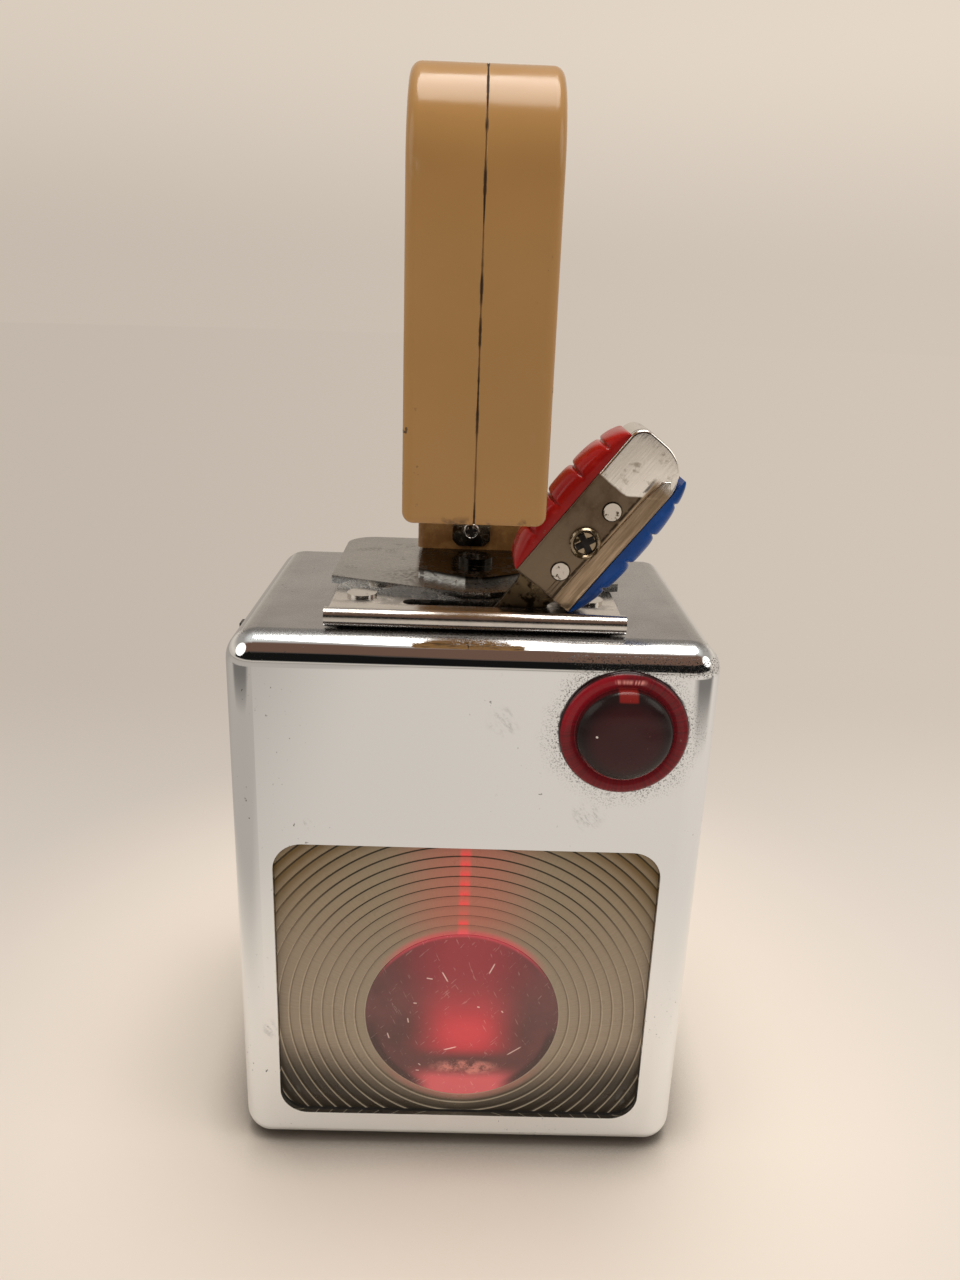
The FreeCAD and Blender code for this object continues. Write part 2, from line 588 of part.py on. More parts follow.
# The small red lens, its nut, bulb and holder
def make_marker():
    flange = rod("marker_flange", "marker_radius", "marker_flange",
                 (MARKER_X, f"{FRONT} - marker_flange", MARKER_Z), "y")
    neck = rod("marker_neck", "marker_neck_radius", "marker_neck_length",
               (MARKER_X, FRONT, MARKER_Z), "y")
    sphere_radius = "((marker_dome_radius^2 + marker_dome_rise^2) / (2 * marker_dome_rise))"
    dome = ball("marker_dome_ball", sphere_radius,
                (MARKER_X, f"{FRONT} - marker_flange - marker_dome_rise + {sphere_radius}",
                 MARKER_Z))
    cap = common("marker_dome", dome,
                 rod("marker_dome_limit", "marker_dome_radius", "marker_flange + 2 * marker_dome_rise",
                     (MARKER_X, f"{FRONT} - marker_flange - 2 * marker_dome_rise", MARKER_Z), "y"))
    hollow = rod("marker_hollow", "marker_bore", "2 * marker_neck_length",
                 (MARKER_X, FRONT, MARKER_Z), "y")
    node("marker_lens", cut("marker_lens", fuse("marker_solid", flange, neck, cap), hollow))

    nut = rod("ring_nut_disc", "ring_nut_radius", "ring_nut_depth",
              (MARKER_X, INSIDE_FRONT, MARKER_Z), "y")
    nut_hole = rod("ring_nut_hole", "marker_neck_radius", "3 * ring_nut_depth",
                   (MARKER_X, f"{INSIDE_FRONT} - ring_nut_depth", MARKER_Z), "y")
    node("marker_ring_nut", cut("marker_ring_nut", nut, nut_hole))

    front = "(bulkhead_y - marker_socket_length)"
    shade = rod("marker_socket_rod", "marker_socket_radius", "marker_socket_length",
                (MARKER_X, front, MARKER_Z), "y")
    well = rod("marker_socket_well", "bulb_cap_radius", "marker_socket_length - 2 * body_wall",
               (MARKER_X, front, MARKER_Z), "y")
    node("marker_socket", cut("marker_socket", shade, well))
    make_bulb("marker_bulb", MARKER_X, MARKER_Z, f"({front} - body_wall)", "marker_bulb_radius")


def make_bulb(name, x, z, cap_front, glass_radius):
    """A screw-cap bulb that points at the window: a round glass on a brass cap."""
    length = "(bulb_cap_length - body_wall)"
    cap = rod(name + "_cap", "bulb_cap_radius - seat_gap", length, (x, cap_front, z), "y")
    globe = ball(name + "_globe", glass_radius, (x, f"{cap_front} - {glass_radius}", z))
    stem = rod(name + "_stem", f"{glass_radius} * bulb_neck", glass_radius,
               (x, f"{cap_front} - {glass_radius}", z), "y")
    node(name, fuse(name, globe, stem, cap))


# The guide plate with its rolled edge, its sealing pad and its rivets
def make_guide():
    bead_y = f"({FRONT} + bead_setback)"
    bead_z = "(body_height + bead_lift + bead_radius)"
    leaf = block("guide_leaf", ("guide_width", f"guide_back - {bead_y}", "plate_sheet"),
                 ("-guide_width / 2", bead_y, PAD_TOP))
    roll = rod("guide_roll", "bead_radius", "guide_width", ("-guide_width / 2", bead_y, bead_z), "x")
    bore = rod("guide_roll_bore", "bead_bore", "guide_width + 2 * plate_sheet",
               ("-guide_width / 2 - plate_sheet", bead_y, bead_z), "x")
    slot = slot_tool("guide_slot", f"{PAD_TOP} - plate_sheet", "3 * plate_sheet", "0")
    holes = top_holes("guide", f"{PAD_TOP} - plate_sheet", "3 * plate_sheet", ("rivets", "foot"))
    node("guide_plate", cut("guide_plate", fuse("guide_sheet", leaf, roll), bore, slot, *holes))

    margin = "(2 * bead_radius)"
    seal = block("guide_pad_block", (f"guide_width - {margin}",
                                     f"guide_back - {bead_y} - {margin}", "pad_thickness"),
                 (f"-guide_width / 2 + {margin} / 2", f"{bead_y} + {margin}", "body_height"))
    seal_slot = slot_tool("pad_slot", "body_height - pad_thickness", "3 * pad_thickness", "slot_ease")
    holes = top_holes("pad", "body_height - pad_thickness", "3 * pad_thickness", ("rivets", "foot"))
    node("guide_pad", cut("guide_pad", seal, seal_slot, *holes))

    for side, sign in SIDES.items():
        name = f"guide_rivet_{side}"
        spot = (f"{sign} * guide_rivet_x", "guide_rivet_y")
        head = rod(name + "_head", "guide_rivet_head", "rivet_head_height", (*spot, GUIDE_TOP))
        shank = rod(name + "_shank", "guide_rivet_shank",
                    f"{GUIDE_TOP} - {INSIDE_TOP} + bracket_sheet",
                    (*spot, f"{INSIDE_TOP} - bracket_sheet"))
        tail = rod(name + "_tail", "2 * guide_rivet_shank", "rivet_head_height",
                   (*spot, f"{INSIDE_TOP} - bracket_sheet - rivet_head_height"))
        node(name, fuse(name, head, shank, tail))


# The V-nosed handle plate, its spacer, the handle's foot and their fixings
def nose_plate(name, width, nose_width, nose_y, corner_y, back_y, thickness, bottom, centre, rounds):
    half = f"{width} / 2"
    corners = [
        (f"{centre} - {nose_width} / 2", nose_y),
        (f"{centre} + {nose_width} / 2", nose_y),
        (f"{centre} + {half}", corner_y),
        (f"{centre} + {half}", back_y),
        (f"{centre} - {half}", back_y),
        (f"{centre} - {half}", corner_y),
    ]
    return pad(name, "top", corners, thickness, bottom, rounds)


def make_mount():
    def rear_corner(edge):
        return along("z")(edge) and abs(edge.BoundBox.YMin - size("mount_back_y")) < NEAR

    plate = nose_plate("mount_blank", "mount_width", "mount_nose_width", "mount_nose_y",
                       "mount_corner_y", "mount_back_y", "mount_sheet", GUIDE_TOP, "0",
                       [(rear_corner, "mount_radius")])
    holes = top_holes("mount", f"{GUIDE_TOP} - mount_sheet", "3 * mount_sheet", ("foot", "studs"))
    node("handle_mount_plate", cut("handle_mount_plate", plate, *holes))

    gap = f"({GUIDE_TOP} - body_height)"
    spacer = block("mount_spacer_block", ("spacer_width", "spacer_back_y - spacer_front_y", gap),
                   ("-spacer_width / 2", "spacer_front_y", "body_height"))
    holes = top_holes("spacer", f"body_height - {gap}", f"3 * {gap}", ("studs",))
    node("mount_spacer", cut("mount_spacer", spacer, *holes))

    foot = nose_plate("foot_blank", "foot_width", "foot_nose_width", "foot_nose_y", "foot_corner_y",
                      "leg_front_y + leg_depth", "foot_sheet", MOUNT_TOP, "0", [])
    holes = top_holes("foot", f"{MOUNT_TOP} - foot_sheet", "3 * foot_sheet", ("foot", "studs"))
    node("handle_foot", cut("handle_foot", foot, *holes))

    spot = (0, "foot_rivet_y")
    head = rod("foot_rivet_head", "foot_rivet_head", "foot_rivet_head_height", (*spot, FOOT_TOP))
    shank = rod("foot_rivet_shank", "foot_rivet_shank", f"{FOOT_TOP} - {INSIDE_TOP}",
                (*spot, INSIDE_TOP))
    tail = rod("foot_rivet_tail", "foot_rivet_tail", "foot_rivet_head_height",
               (*spot, f"{INSIDE_TOP} - foot_rivet_head_height"))
    node("foot_rivet", fuse("foot_rivet", head, shank, tail))

    for side, sign in SIDES.items():
        name = f"handle_stud_{side}"
        spot = (f"handle_shift + {sign} * stud_x", "stud_y")
        head = rod(name + "_head", "stud_head", "stud_head_height",
                   (*spot, f"{INSIDE_TOP} - stud_head_height"))
        shank = rod(name + "_shank", "stud_shank", f"{FOOT_TOP} - {INSIDE_TOP} + stud_reach",
                    (*spot, INSIDE_TOP))
        node(name, fuse(name, head, shank))


# The hooked handle: two moulded halves round a bent steel strip
LEG_BACK = "(leg_front_y + leg_depth)"
GRIP_BACK = "(handle_front_y + grip_depth)"
BAR_BOTTOM = "(handle_top - bar_height)"
LEG_SCREW_Z = f"({FOOT_TOP} + leg_screw_height)"


def handle_half(side, sign):
    name = f"handle_half_{side}"
    corners = [
        ("handle_front_y", "grip_bottom"),
        ("handle_front_y", "handle_top"),
        (LEG_BACK, "handle_top"),
        (LEG_BACK, FOOT_TOP),
        ("leg_front_y", FOOT_TOP),
        ("leg_front_y", BAR_BOTTOM),
        (GRIP_BACK, BAR_BOTTOM),
        (GRIP_BACK, "grip_bottom"),
    ]
    top = size("handle_top")
    inner = top - size("bar_height")
    low = size("grip_bottom")

    def outer_bend(edge):
        return along("x")(edge) and abs(edge.BoundBox.ZMin - top) < NEAR

    def inner_bend(edge):
        return along("x")(edge) and abs(edge.BoundBox.ZMin - inner) < NEAR

    def free_end(edge):
        return along("x")(edge) and abs(edge.BoundBox.ZMin - low) < NEAR

    def outside(edge):
        box = edge.BoundBox
        face_x = size("handle_width") / 2 if sign > 0 else 0
        above_foot = box.ZMax > low - NEAR
        return box.XLength < NEAR and abs(box.XMin - face_x) < NEAR and above_foot

    def seam(edge):
        box = edge.BoundBox
        face_x = 0 if sign > 0 else size("handle_width") / 2
        above_foot = box.ZMax > low - NEAR
        return box.XLength < NEAR and abs(box.XMin - face_x) < NEAR and above_foot

    rounds = [(outer_bend, "handle_bend"), (inner_bend, "handle_inner_bend"),
              (free_end, "handle_end_round"), (outside, "handle_edge_round"),
              (seam, "handle_seam_round")]
    corner_x = "handle_shift" if sign > 0 else "handle_shift - handle_width / 2"
    blank = pad(name + "_blank", "side", corners, "handle_width / 2", corner_x, rounds)
    return name, blank


def make_handle():
    middle_leg = "(leg_front_y + leg_depth / 2)"
    middle_grip = "(handle_front_y + grip_depth / 2)"
    middle_bar = "(handle_top - bar_height / 2)"
    half = "core_sheet / 2"
    low = "(grip_bottom + core_end_gap)"
    corners = [
        (f"{middle_grip} - {half}", low),
        (f"{middle_grip} - {half}", f"{middle_bar} + {half}"),
        (f"{middle_leg} + {half}", f"{middle_bar} + {half}"),
        (f"{middle_leg} + {half}", FOOT_TOP),
        (f"{middle_leg} - {half}", FOOT_TOP),
        (f"{middle_leg} - {half}", f"{middle_bar} - {half}"),
        (f"{middle_grip} + {half}", f"{middle_bar} - {half}"),
        (f"{middle_grip} + {half}", low),
    ]
    bar_middle = size("handle_top") - size("bar_height") / 2

    def bend(lift):
        level = bar_middle + lift * size("core_sheet") / 2
        return lambda edge: along("x")(edge) and abs(edge.BoundBox.ZMin - level) < NEAR

    core = pad("handle_core_strip", "side", corners, "core_width", "handle_shift - core_width / 2",
               [(bend(1), "core_bend"), (bend(-1), "core_bend - core_sheet")])

    screw_y = "(leg_front_y - washer_sheet - leg_screw_head_height)"
    head = rod("leg_screw_head", "leg_screw_head", "leg_screw_head_height",
               ("handle_shift", screw_y, LEG_SCREW_Z), "y")
    shank = rod("leg_screw_shank", "leg_screw_shank",
                "washer_sheet + leg_screw_head_height + leg_depth / 2",
                ("handle_shift", screw_y, LEG_SCREW_Z), "y")
    screw = node("handle_screw", fuse("handle_screw", head, shank))

    cross = {}
    beside = "(core_sheet / 2 + cross_screw_shank + cross_screw_play)"
    spots = {"top": ("0", f"({middle_bar} - {beside})"),
             "grip": (f"({middle_grip} + {beside})", "(grip_bottom + cross_screw_height)")}
    for spot, (y, z) in spots.items():
        name = f"handle_cross_screw_{spot}"
        face = "(handle_shift + handle_width / 2)"
        head = rod(name + "_head", "cross_screw_head", "cross_screw_head_depth",
                   (f"{face} - cross_screw_head_depth", y, z), "x")
        shank = rod(name + "_shank", "cross_screw_shank", "handle_width - cross_screw_skin",
                    ("handle_shift - handle_width / 2 + cross_screw_skin", y, z), "x")
        cross[spot] = node(name, fuse(name, head, shank))

    node("handle_core", cut("handle_core", core, screw))
    studs = [NODES["handle_stud_left"], NODES["handle_stud_right"]]
    for side, sign in SIDES.items():
        name, blank = handle_half(side, sign)
        node(name, cut(name, blank, core, screw, cross["top"], cross["grip"], *studs))

    half_width = "washer_width / 2"
    half_height = "washer_height / 2"
    corners = [
        (f"handle_shift - {half_width} + washer_chamfer", f"{LEG_SCREW_Z} - {half_height}"),
        (f"handle_shift + {half_width} - washer_chamfer", f"{LEG_SCREW_Z} - {half_height}"),
        (f"handle_shift + {half_width}", f"{LEG_SCREW_Z} - {half_height} + washer_chamfer"),
        (f"handle_shift + {half_width}", f"{LEG_SCREW_Z} + {half_height} - washer_chamfer"),
        (f"handle_shift + {half_width} - washer_chamfer", f"{LEG_SCREW_Z} + {half_height}"),
        (f"handle_shift - {half_width} + washer_chamfer", f"{LEG_SCREW_Z} + {half_height}"),
        (f"handle_shift - {half_width}", f"{LEG_SCREW_Z} + {half_height} - washer_chamfer"),
        (f"handle_shift - {half_width}", f"{LEG_SCREW_Z} - {half_height} + washer_chamfer"),
    ]
    washer = pad("handle_washer_blank", "front", corners, "washer_sheet", "leg_front_y - washer_sheet")
    hole = rod("handle_washer_hole", "leg_screw_shank", "3 * washer_sheet",
               ("handle_shift", "leg_front_y - 2 * washer_sheet", LEG_SCREW_Z), "y")
    node("handle_washer", cut("handle_washer", washer, hole))


# The lever is drawn upright about its pivot, then leaned over to the red position
def lean(item, angle="lever_tilt", pivot=PIVOT_Z):
    item.Placement = Placement(Vector(), Rotation(Vector(0, 1, 0), 1))
    item.setExpression("Placement.Rotation.Angle", link(angle))
    item.setExpression(".Placement.Base.z", link(pivot))
    return item


def lever_bores(name):
    """The screw and rivet holes that run through the lever head from front to back."""
    reach = "(knob_front + knob_back + 2 * bore_margin)"
    front = "(lever_y - knob_front - bore_margin)"
    return [
        rod(name + "_screw_hole", "lever_screw_shank", reach, (0, front, "lever_screw_reach"), "y"),
        rod(name + "_low_hole", "lever_rivet_shank", reach, (0, front, "lever_rivet_low"), "y"),
        rod(name + "_high_hole", "lever_rivet_shank", reach, (0, front, "lever_rivet_high"), "y"),
    ]


def make_lever():
    inner_half = "(knob_width / 2 - knob_sheet)"
    shank_half = "(knob_width / 2 - knob_sheet - filler_wall)"
    neck = "lever_neck_width / 2"
    tail = "lever_tail_width / 2"
    corners = [
        (f"-{tail}", "-lever_tail_end"),
        (tail, "-lever_tail_end"),
        (tail, "0"),
        (neck, "lever_neck_start"),
        (neck, "lever_neck_end"),
        (shank_half, "knob_start"),
        (shank_half, "knob_end - knob_sheet - knob_top_round"),
        (f"-{shank_half}", "knob_end - knob_sheet - knob_top_round"),
        (f"-{shank_half}", "knob_start"),
        (f"-{neck}", "lever_neck_end"),
        (f"-{neck}", "lever_neck_start"),
        (f"-{tail}", "0"),
    ]
    plate = pad("lever_blank", "front", corners, "lever_sheet", "lever_y - lever_sheet / 2")
    pivot_hole = rod("lever_pivot_hole", "pivot_radius + pin_clearance", "3 * lever_sheet",
                     (0, "lever_y - 3 * lever_sheet / 2", 0), "y")
    pin = rod("link_pin", "link_pin_radius", "lever_sheet + carrier_gap + carrier_sheet + running_gap",
              (0, "lever_y - lever_sheet / 2", f"-{LINK_REACH}"), "y")
    lever = cut("lever_bored", plate, pivot_hole, *lever_bores("lever"))
    node("lever_plate", lean(fuse("lever_plate", lever, pin)))

    def top_corner(edge):
        height = size("knob_end") - size("knob_start")
        return along("y")(edge) and abs(edge.BoundBox.ZMax - height) < NEAR

    depth = "(knob_front + knob_back - knob_lid_sheet)"
    channel = knob_block("channel_block", "knob_width", depth, "knob_start", "knob_end",
                         "lever_y - knob_front", "knob_top_round", top_corner)
    hollow = knob_block("channel_hollow", "knob_width - 2 * knob_sheet", f"{depth} + knob_sheet",
                        "knob_start - knob_sheet", "knob_end - knob_sheet",
                        "lever_y - knob_front + knob_sheet", "knob_top_round - knob_sheet", top_corner)
    node("lever_channel", lean(cut("lever_channel", channel, hollow, *lever_bores("channel"))))

    lid = knob_block("lever_lid_block", "knob_width", "knob_lid_sheet", "knob_start", "knob_end",
                     "lever_y + knob_back - knob_lid_sheet", "knob_top_round", top_corner)
    node("lever_back_cover", lean(cut("lever_back_cover", lid, *lever_bores("lid"))))

    front = "(lever_y - knob_front + knob_sheet)"
    filler = block("lever_filler_block",
                   (f"2 * {inner_half}", "knob_front + knob_back - knob_sheet - knob_lid_sheet",
                    "knob_end - knob_top_round - knob_start"),
                   (f"-{inner_half}", front, "knob_start"))
    node("lever_filler", lean(cut("lever_filler", filler, plate, *lever_bores("filler"))))

    for colour, sign in (("red", -1), ("blue", 1)):
        node(f"{colour}_grip", lean(make_grip(colour, sign)))

    through = "(knob_front + knob_back)"
    face = "(lever_y - knob_front)"
    head = rod("lever_screw_head", "lever_screw_head", "lever_screw_height",
               (0, f"{face} - lever_screw_height", "lever_screw_reach"), "y")
    shank = rod("lever_screw_shank", "lever_screw_shank", f"{through} + lever_screw_height / 2",
                (0, face, "lever_screw_reach"), "y")
    cross = fuse("lever_screw_cross",
                 cross_bar("a", "lever_screw_head", "lever_screw_height", face),
                 cross_bar("b", "lever_screw_height", "lever_screw_head", face))
    node("lever_screw", lean(cut("lever_screw", fuse("lever_screw_blank", head, shank), cross)))

    for level in ("low", "high"):
        name = f"lever_rivet_{level}"
        height = f"lever_rivet_{level}"
        head = rod(name + "_head", "lever_rivet_head", "flush_height",
                   (0, f"{face} - flush_height", height), "y")
        shank = rod(name + "_shank", "lever_rivet_shank", through, (0, face, height), "y")
        tail_head = rod(name + "_tail", "lever_rivet_head", "flush_height",
                        (0, "lever_y + knob_back", height), "y")
        node(name, lean(fuse(name, head, shank, tail_head)))


def cross_bar(name, width, height, face):
    """One bar of the cross recess in the lever's screw."""
    return block(f"lever_screw_recess_{name}", (width, "2 * lever_screw_height / 3", height),
                 (f"-{width} / 2", f"{face} - lever_screw_height", f"lever_screw_reach - {height} / 2"))


def knob_block(name, width, depth, low, high, front, radius, test):
    body = doc.addObject("PartDesign::Body", name)
    feature = body.newObject("PartDesign::AdditiveBox", name + "_box")
    feature.setExpression("Length", link(width))
    feature.setExpression("Width", link(depth))
    feature.setExpression("Height", link(f"({high}) - ({low})"))
    place(body, (f"-({width}) / 2", front, low))
    return soften(body, feature, [(test, radius)])


def make_grip(colour, sign):
    """A bowed grip along one side of the lever head, with notches across it for the thumb."""
    near = f"{sign} * knob_width / 2"
    crest = f"{sign} * (knob_width / 2 + grip_thickness)"
    shoulder = f"{sign} * (knob_width / 2 + grip_shoulder)"
    tip = f"{sign} * (knob_width / 2 + grip_tip)"
    length = "(grip_end - grip_start)"
    corners = [
        (near, "grip_start"),
        (tip, "grip_start"),
        (shoulder, f"grip_start + {length} / 5"),
        (crest, f"grip_start + 2 * {length} / 5"),
        (crest, f"grip_end - 2 * {length} / 5"),
        (shoulder, f"grip_end - {length} / 5"),
        (tip, "grip_end"),
        (near, "grip_end"),
    ]
    depth = "(knob_front + knob_back - 2 * grip_inset)"
    blank = pad(f"{colour}_grip_blank", "front", corners, depth, "lever_y - knob_front + grip_inset")
    notches = []
    for number in range(int(size("grip_notch_count"))):
        outer = number in (0, size("grip_notch_count") - 1)
        level = "grip_shoulder" if outer else "grip_thickness"
        notch_x = f"{sign} * (knob_width / 2 + {level} + grip_notch - grip_notch_depth)"
        notch_z = f"grip_start + grip_notch_first + {number} * grip_notch_pitch"
        notches.append(rod(f"{colour}_grip_notch_{number + 1}", "grip_notch", f"2 * {depth}",
                           (notch_x, f"lever_y - {depth}", notch_z), "y"))
    return cut(f"{colour}_grip", blank, *notches)


# The bracket under the top of the box, with both pivot pins and the detent spring
def make_bracket():
    front = "(lever_y - bracket_front)"
    back = "(lever_y + bracket_back)"
    bottom = f"({CARRIER_Z} - bracket_foot)"
    web = block("bracket_web", ("bracket_web_width", f"{back} - {front}", "bracket_sheet"),
                ("-bracket_web_width / 2", front, f"{INSIDE_TOP} - bracket_sheet"))
    legs = []
    for place_name, y in (("front", front), ("back", f"({back} - bracket_sheet)")):
        legs.append(block(f"bracket_leg_{place_name}",
                          ("bracket_width", "bracket_sheet", f"{INSIDE_TOP} - {bottom}"),
                          ("-bracket_width / 2", y, bottom)))
    slot = slot_tool("bracket_slot", f"{INSIDE_TOP} - 2 * bracket_sheet", "3 * bracket_sheet", "slot_ease")
    holes = top_holes("bracket", f"{INSIDE_TOP} - 2 * bracket_sheet", "3 * bracket_sheet", ("rivets",))
    reach = f"({back} - {front} + 2 * bracket_sheet)"
    start = f"({front} - bracket_sheet)"
    bores = [rod("bracket_pivot_bore", "pivot_radius", reach, (0, start, PIVOT_Z), "y"),
             rod("bracket_carrier_bore", "carrier_pivot_radius", reach, (0, start, CARRIER_Z), "y")]
    bosses = (
        ("lever_front", PIVOT_Z, f"({front} + bracket_sheet)",
         "(lever_y - lever_sheet / 2 - running_gap)"),
        ("lever_back", PIVOT_Z, "(lever_y + lever_sheet / 2 + running_gap)",
         f"({back} - bracket_sheet)"),
        ("carrier_front", CARRIER_Z, f"({front} + bracket_sheet)",
         "(lever_y + lever_sheet / 2 + carrier_gap - running_gap)"),
        ("carrier_back", CARRIER_Z,
         "(lever_y + lever_sheet / 2 + carrier_gap + carrier_sheet + running_gap)",
         f"({back} - bracket_sheet)"),
    )
    tubes = [rod(f"bracket_boss_{name}", "boss_radius", f"{high} - {low}", (0, low, height), "y")
             for name, height, low, high in bosses]
    node("lever_bracket", cut("lever_bracket", fuse("bracket_blank", web, *legs, *tubes),
                              slot, *holes, *bores))

    span = f"({back} - {front})"
    node("lever_pivot_pin", rod("lever_pivot_pin", "pivot_radius", span, (0, front, PIVOT_Z), "y"))
    node("carrier_pivot_pin", rod("carrier_pivot_pin", "carrier_pivot_radius", span,
                                  (0, front, CARRIER_Z), "y"))

    leaf = block("detent_leaf", ("lever_tail_width - 2 * bracket_sheet", "bracket_sheet / 2",
                                 "lever_tail_end"),
                 ("-lever_tail_width / 2 + bracket_sheet", f"{front} + bracket_sheet",
                  f"{PIVOT_Z} - lever_tail_end - boss_radius"))
    reach = "(bracket_front - bracket_sheet - lever_sheet / 2 - running_gap)"
    nose = block("detent_nose", ("lever_tail_width - 2 * bracket_sheet", reach, "2 * bracket_sheet"),
                 ("-lever_tail_width / 2 + bracket_sheet", f"{front} + bracket_sheet",
                  f"{PIVOT_Z} - lever_tail_end + bracket_sheet"))
    node("detent_spring", fuse("detent_spring", leaf, nose))


# The filter carrier is drawn hanging straight down, then turned to bring red into the beam
def make_carrier():
    y = "(lever_y + lever_sheet / 2 + carrier_gap)"
    half_turn = "lever_tilt / 2"
    hub = rod("carrier_hub", "carrier_hub", "carrier_sheet", (0, y, 0), "y")
    top_arm = block("carrier_top_arm", ("carrier_top_width", "carrier_sheet", "carrier_top"),
                    ("-carrier_top_width / 2", y, 0))
    solids = [hub, top_arm]
    views = []
    for colour, sign in (("red", -1), ("blue", 1)):
        centre_x = f"{sign} * {FILTER_REACH} * sin({half_turn})"
        centre_z = f"-{FILTER_REACH} * cos({half_turn})"
        solids.append(rod(f"{colour}_filter_ring", "filter_radius + filter_rim", "carrier_sheet",
                          (centre_x, y, centre_z), "y"))
        arm = block(f"{colour}_filter_arm", ("carrier_arm_width", "carrier_sheet", FILTER_REACH),
                    (0, y, 0))
        arm.Placement = Placement(Vector(), Rotation(Vector(0, 1, 0), 1))
        arm.setExpression("Placement.Rotation.Angle", link(f"180 - {sign} * {half_turn}"))
        arm.setExpression(".Placement.Base.x", link(f"carrier_arm_width / 2 * cos({half_turn})"))
        arm.setExpression(".Placement.Base.z",
                          link(f"{sign} * carrier_arm_width / 2 * sin({half_turn})"))
        arm.setExpression(".Placement.Base.y", link(y))
        solids.append(arm)
        views.append(rod(f"{colour}_filter_view", "filter_view", "6 * carrier_sheet",
                         (centre_x, f"{y} - 4 * carrier_sheet", centre_z), "y"))
        turned = f"-{half_turn}"
        disc = rod(f"{colour}_filter_disc", "filter_radius", "filter_sheet",
                   (centre_x, f"{y} - filter_sheet", centre_z), "y")
        node(f"{colour}_filter", lean(fuse(f"{colour}_filter", disc, rod(
            f"{colour}_filter_boss", "filter_view - seat_gap", "filter_sheet + carrier_sheet / 2",
            (centre_x, f"{y} - filter_sheet", centre_z), "y")), turned, CARRIER_Z))
        solids.append(rod(f"{colour}_filter_cup", "filter_radius + filter_rim",
                          "filter_sheet + filter_rim_sheet",
                          (centre_x, f"{y} - filter_sheet - filter_rim_sheet", centre_z), "y"))
        views.append(rod(f"{colour}_filter_seat", "filter_radius", "filter_sheet",
                         (centre_x, f"{y} - filter_sheet", centre_z), "y"))
    bore = rod("carrier_bore", "carrier_pivot_radius + pin_clearance", "3 * carrier_sheet",
               (0, f"{y} - carrier_sheet", 0), "y")
    near = f"(link_distance - {LINK_REACH})"
    far = (f"sqrt(({LINK_REACH} * sin(lever_tilt))^2"
           f" + (link_distance - {LINK_REACH} * cos(lever_tilt))^2)")
    slot_half = "(link_pin_radius + link_play)"
    slot = panel("carrier_slot", (f"2 * {slot_half}", "3 * carrier_sheet",
                                  f"{far} - {near} + 2 * {slot_half}"),
                 (f"-{slot_half}", f"{y} - carrier_sheet", f"{near} - {slot_half}"),
                 f"{slot_half} - slot_flat", "y")
    carrier = cut("filter_carrier", fuse("carrier_blank", *solids), bore, slot, *views)
    node("filter_carrier", lean(carrier, f"-{half_turn}", CARRIER_Z))


# The partition, reflector, bulb and bulb holder
def make_optics():
    inner_radius = "(body_radius - body_wall)"
    half = "(body_width / 2 - body_wall - seat_gap)"
    bulkhead = panel("bulkhead_blank", (f"2 * {half}", "bulkhead_sheet", "body_height - 2 * body_wall"),
                     (f"-{half}", "bulkhead_y", "body_wall"), inner_radius, "y")
    mouth = rod("bulkhead_mouth", "reflector_radius + seat_gap", "3 * bulkhead_sheet",
                (0, "bulkhead_y - bulkhead_sheet", "optic_height"), "y")
    node("bulkhead", cut("bulkhead", bulkhead, mouth))

    reflector = doc.addObject("Part::Feature", "reflector_bowl")
    reflector.Shape = reflector_bowl()
    reflector.Placement = Placement(Vector(0, size("bulkhead_y"), size("optic_height")), Rotation())
    node("reflector", reflector)

    depth = "((reflector_radius^2 - reflector_hole^2) / (4 * reflector_focus))"
    front = f"(bulkhead_y + {depth} - reflector_sheet)"
    outside = rod("socket_outside", "socket_radius", "socket_length", (0, front, "optic_height"), "y")
    collar = rod("socket_collar", "reflector_hole + 2 * reflector_sheet", "2 * reflector_sheet",
                 (0, f"{front} + 3 * reflector_sheet", "optic_height"), "y")
    well = rod("socket_well", "bulb_cap_radius", "socket_length - 2 * body_wall",
               (0, front, "optic_height"), "y")
    node("main_socket", cut("main_socket", fuse("socket_solid", outside, collar), well))
    make_bulb("main_bulb", "0", "optic_height", f"({front} - body_wall)", "bulb_radius")


def reflector_bowl():
    """A parabolic bowl with a flat rim, turned about the optical axis from its mouth backwards."""
    radius = size("reflector_radius")
    sheet_depth = size("reflector_sheet")
    focus = size("reflector_focus")
    hole = size("reflector_hole")
    flange = radius + size("reflector_flange")

    def bowl(r, shift):
        return Vector(r, (radius * radius - r * r) / (4 * focus) + shift, 0)

    def arc(r_from, r_to, shift):
        middle = (r_from + r_to) / 2
        return Part.Arc(bowl(r_from, shift), bowl(middle, shift), bowl(r_to, shift)).toShape()

    inner_rim = bowl(radius - sheet_depth, 0)
    start = Vector(radius - sheet_depth, -sheet_depth, 0)
    edges = [
        Part.LineSegment(Vector(flange, -sheet_depth, 0), start).toShape(),
        Part.LineSegment(start, inner_rim).toShape(),
        arc(radius - sheet_depth, hole, 0),
        Part.LineSegment(bowl(hole, 0), bowl(hole, sheet_depth)).toShape(),
        arc(hole, radius - sheet_depth / 2, sheet_depth),
        Part.LineSegment(bowl(radius - sheet_depth / 2, sheet_depth), Vector(radius, 0, 0)).toShape(),
        Part.LineSegment(Vector(radius, 0, 0), Vector(flange, 0, 0)).toShape(),
        Part.LineSegment(Vector(flange, 0, 0), Vector(flange, -sheet_depth, 0)).toShape(),
    ]
    return Part.Face(Part.Wire(edges)).revolve(Vector(), Vector(0, 1, 0), 360)


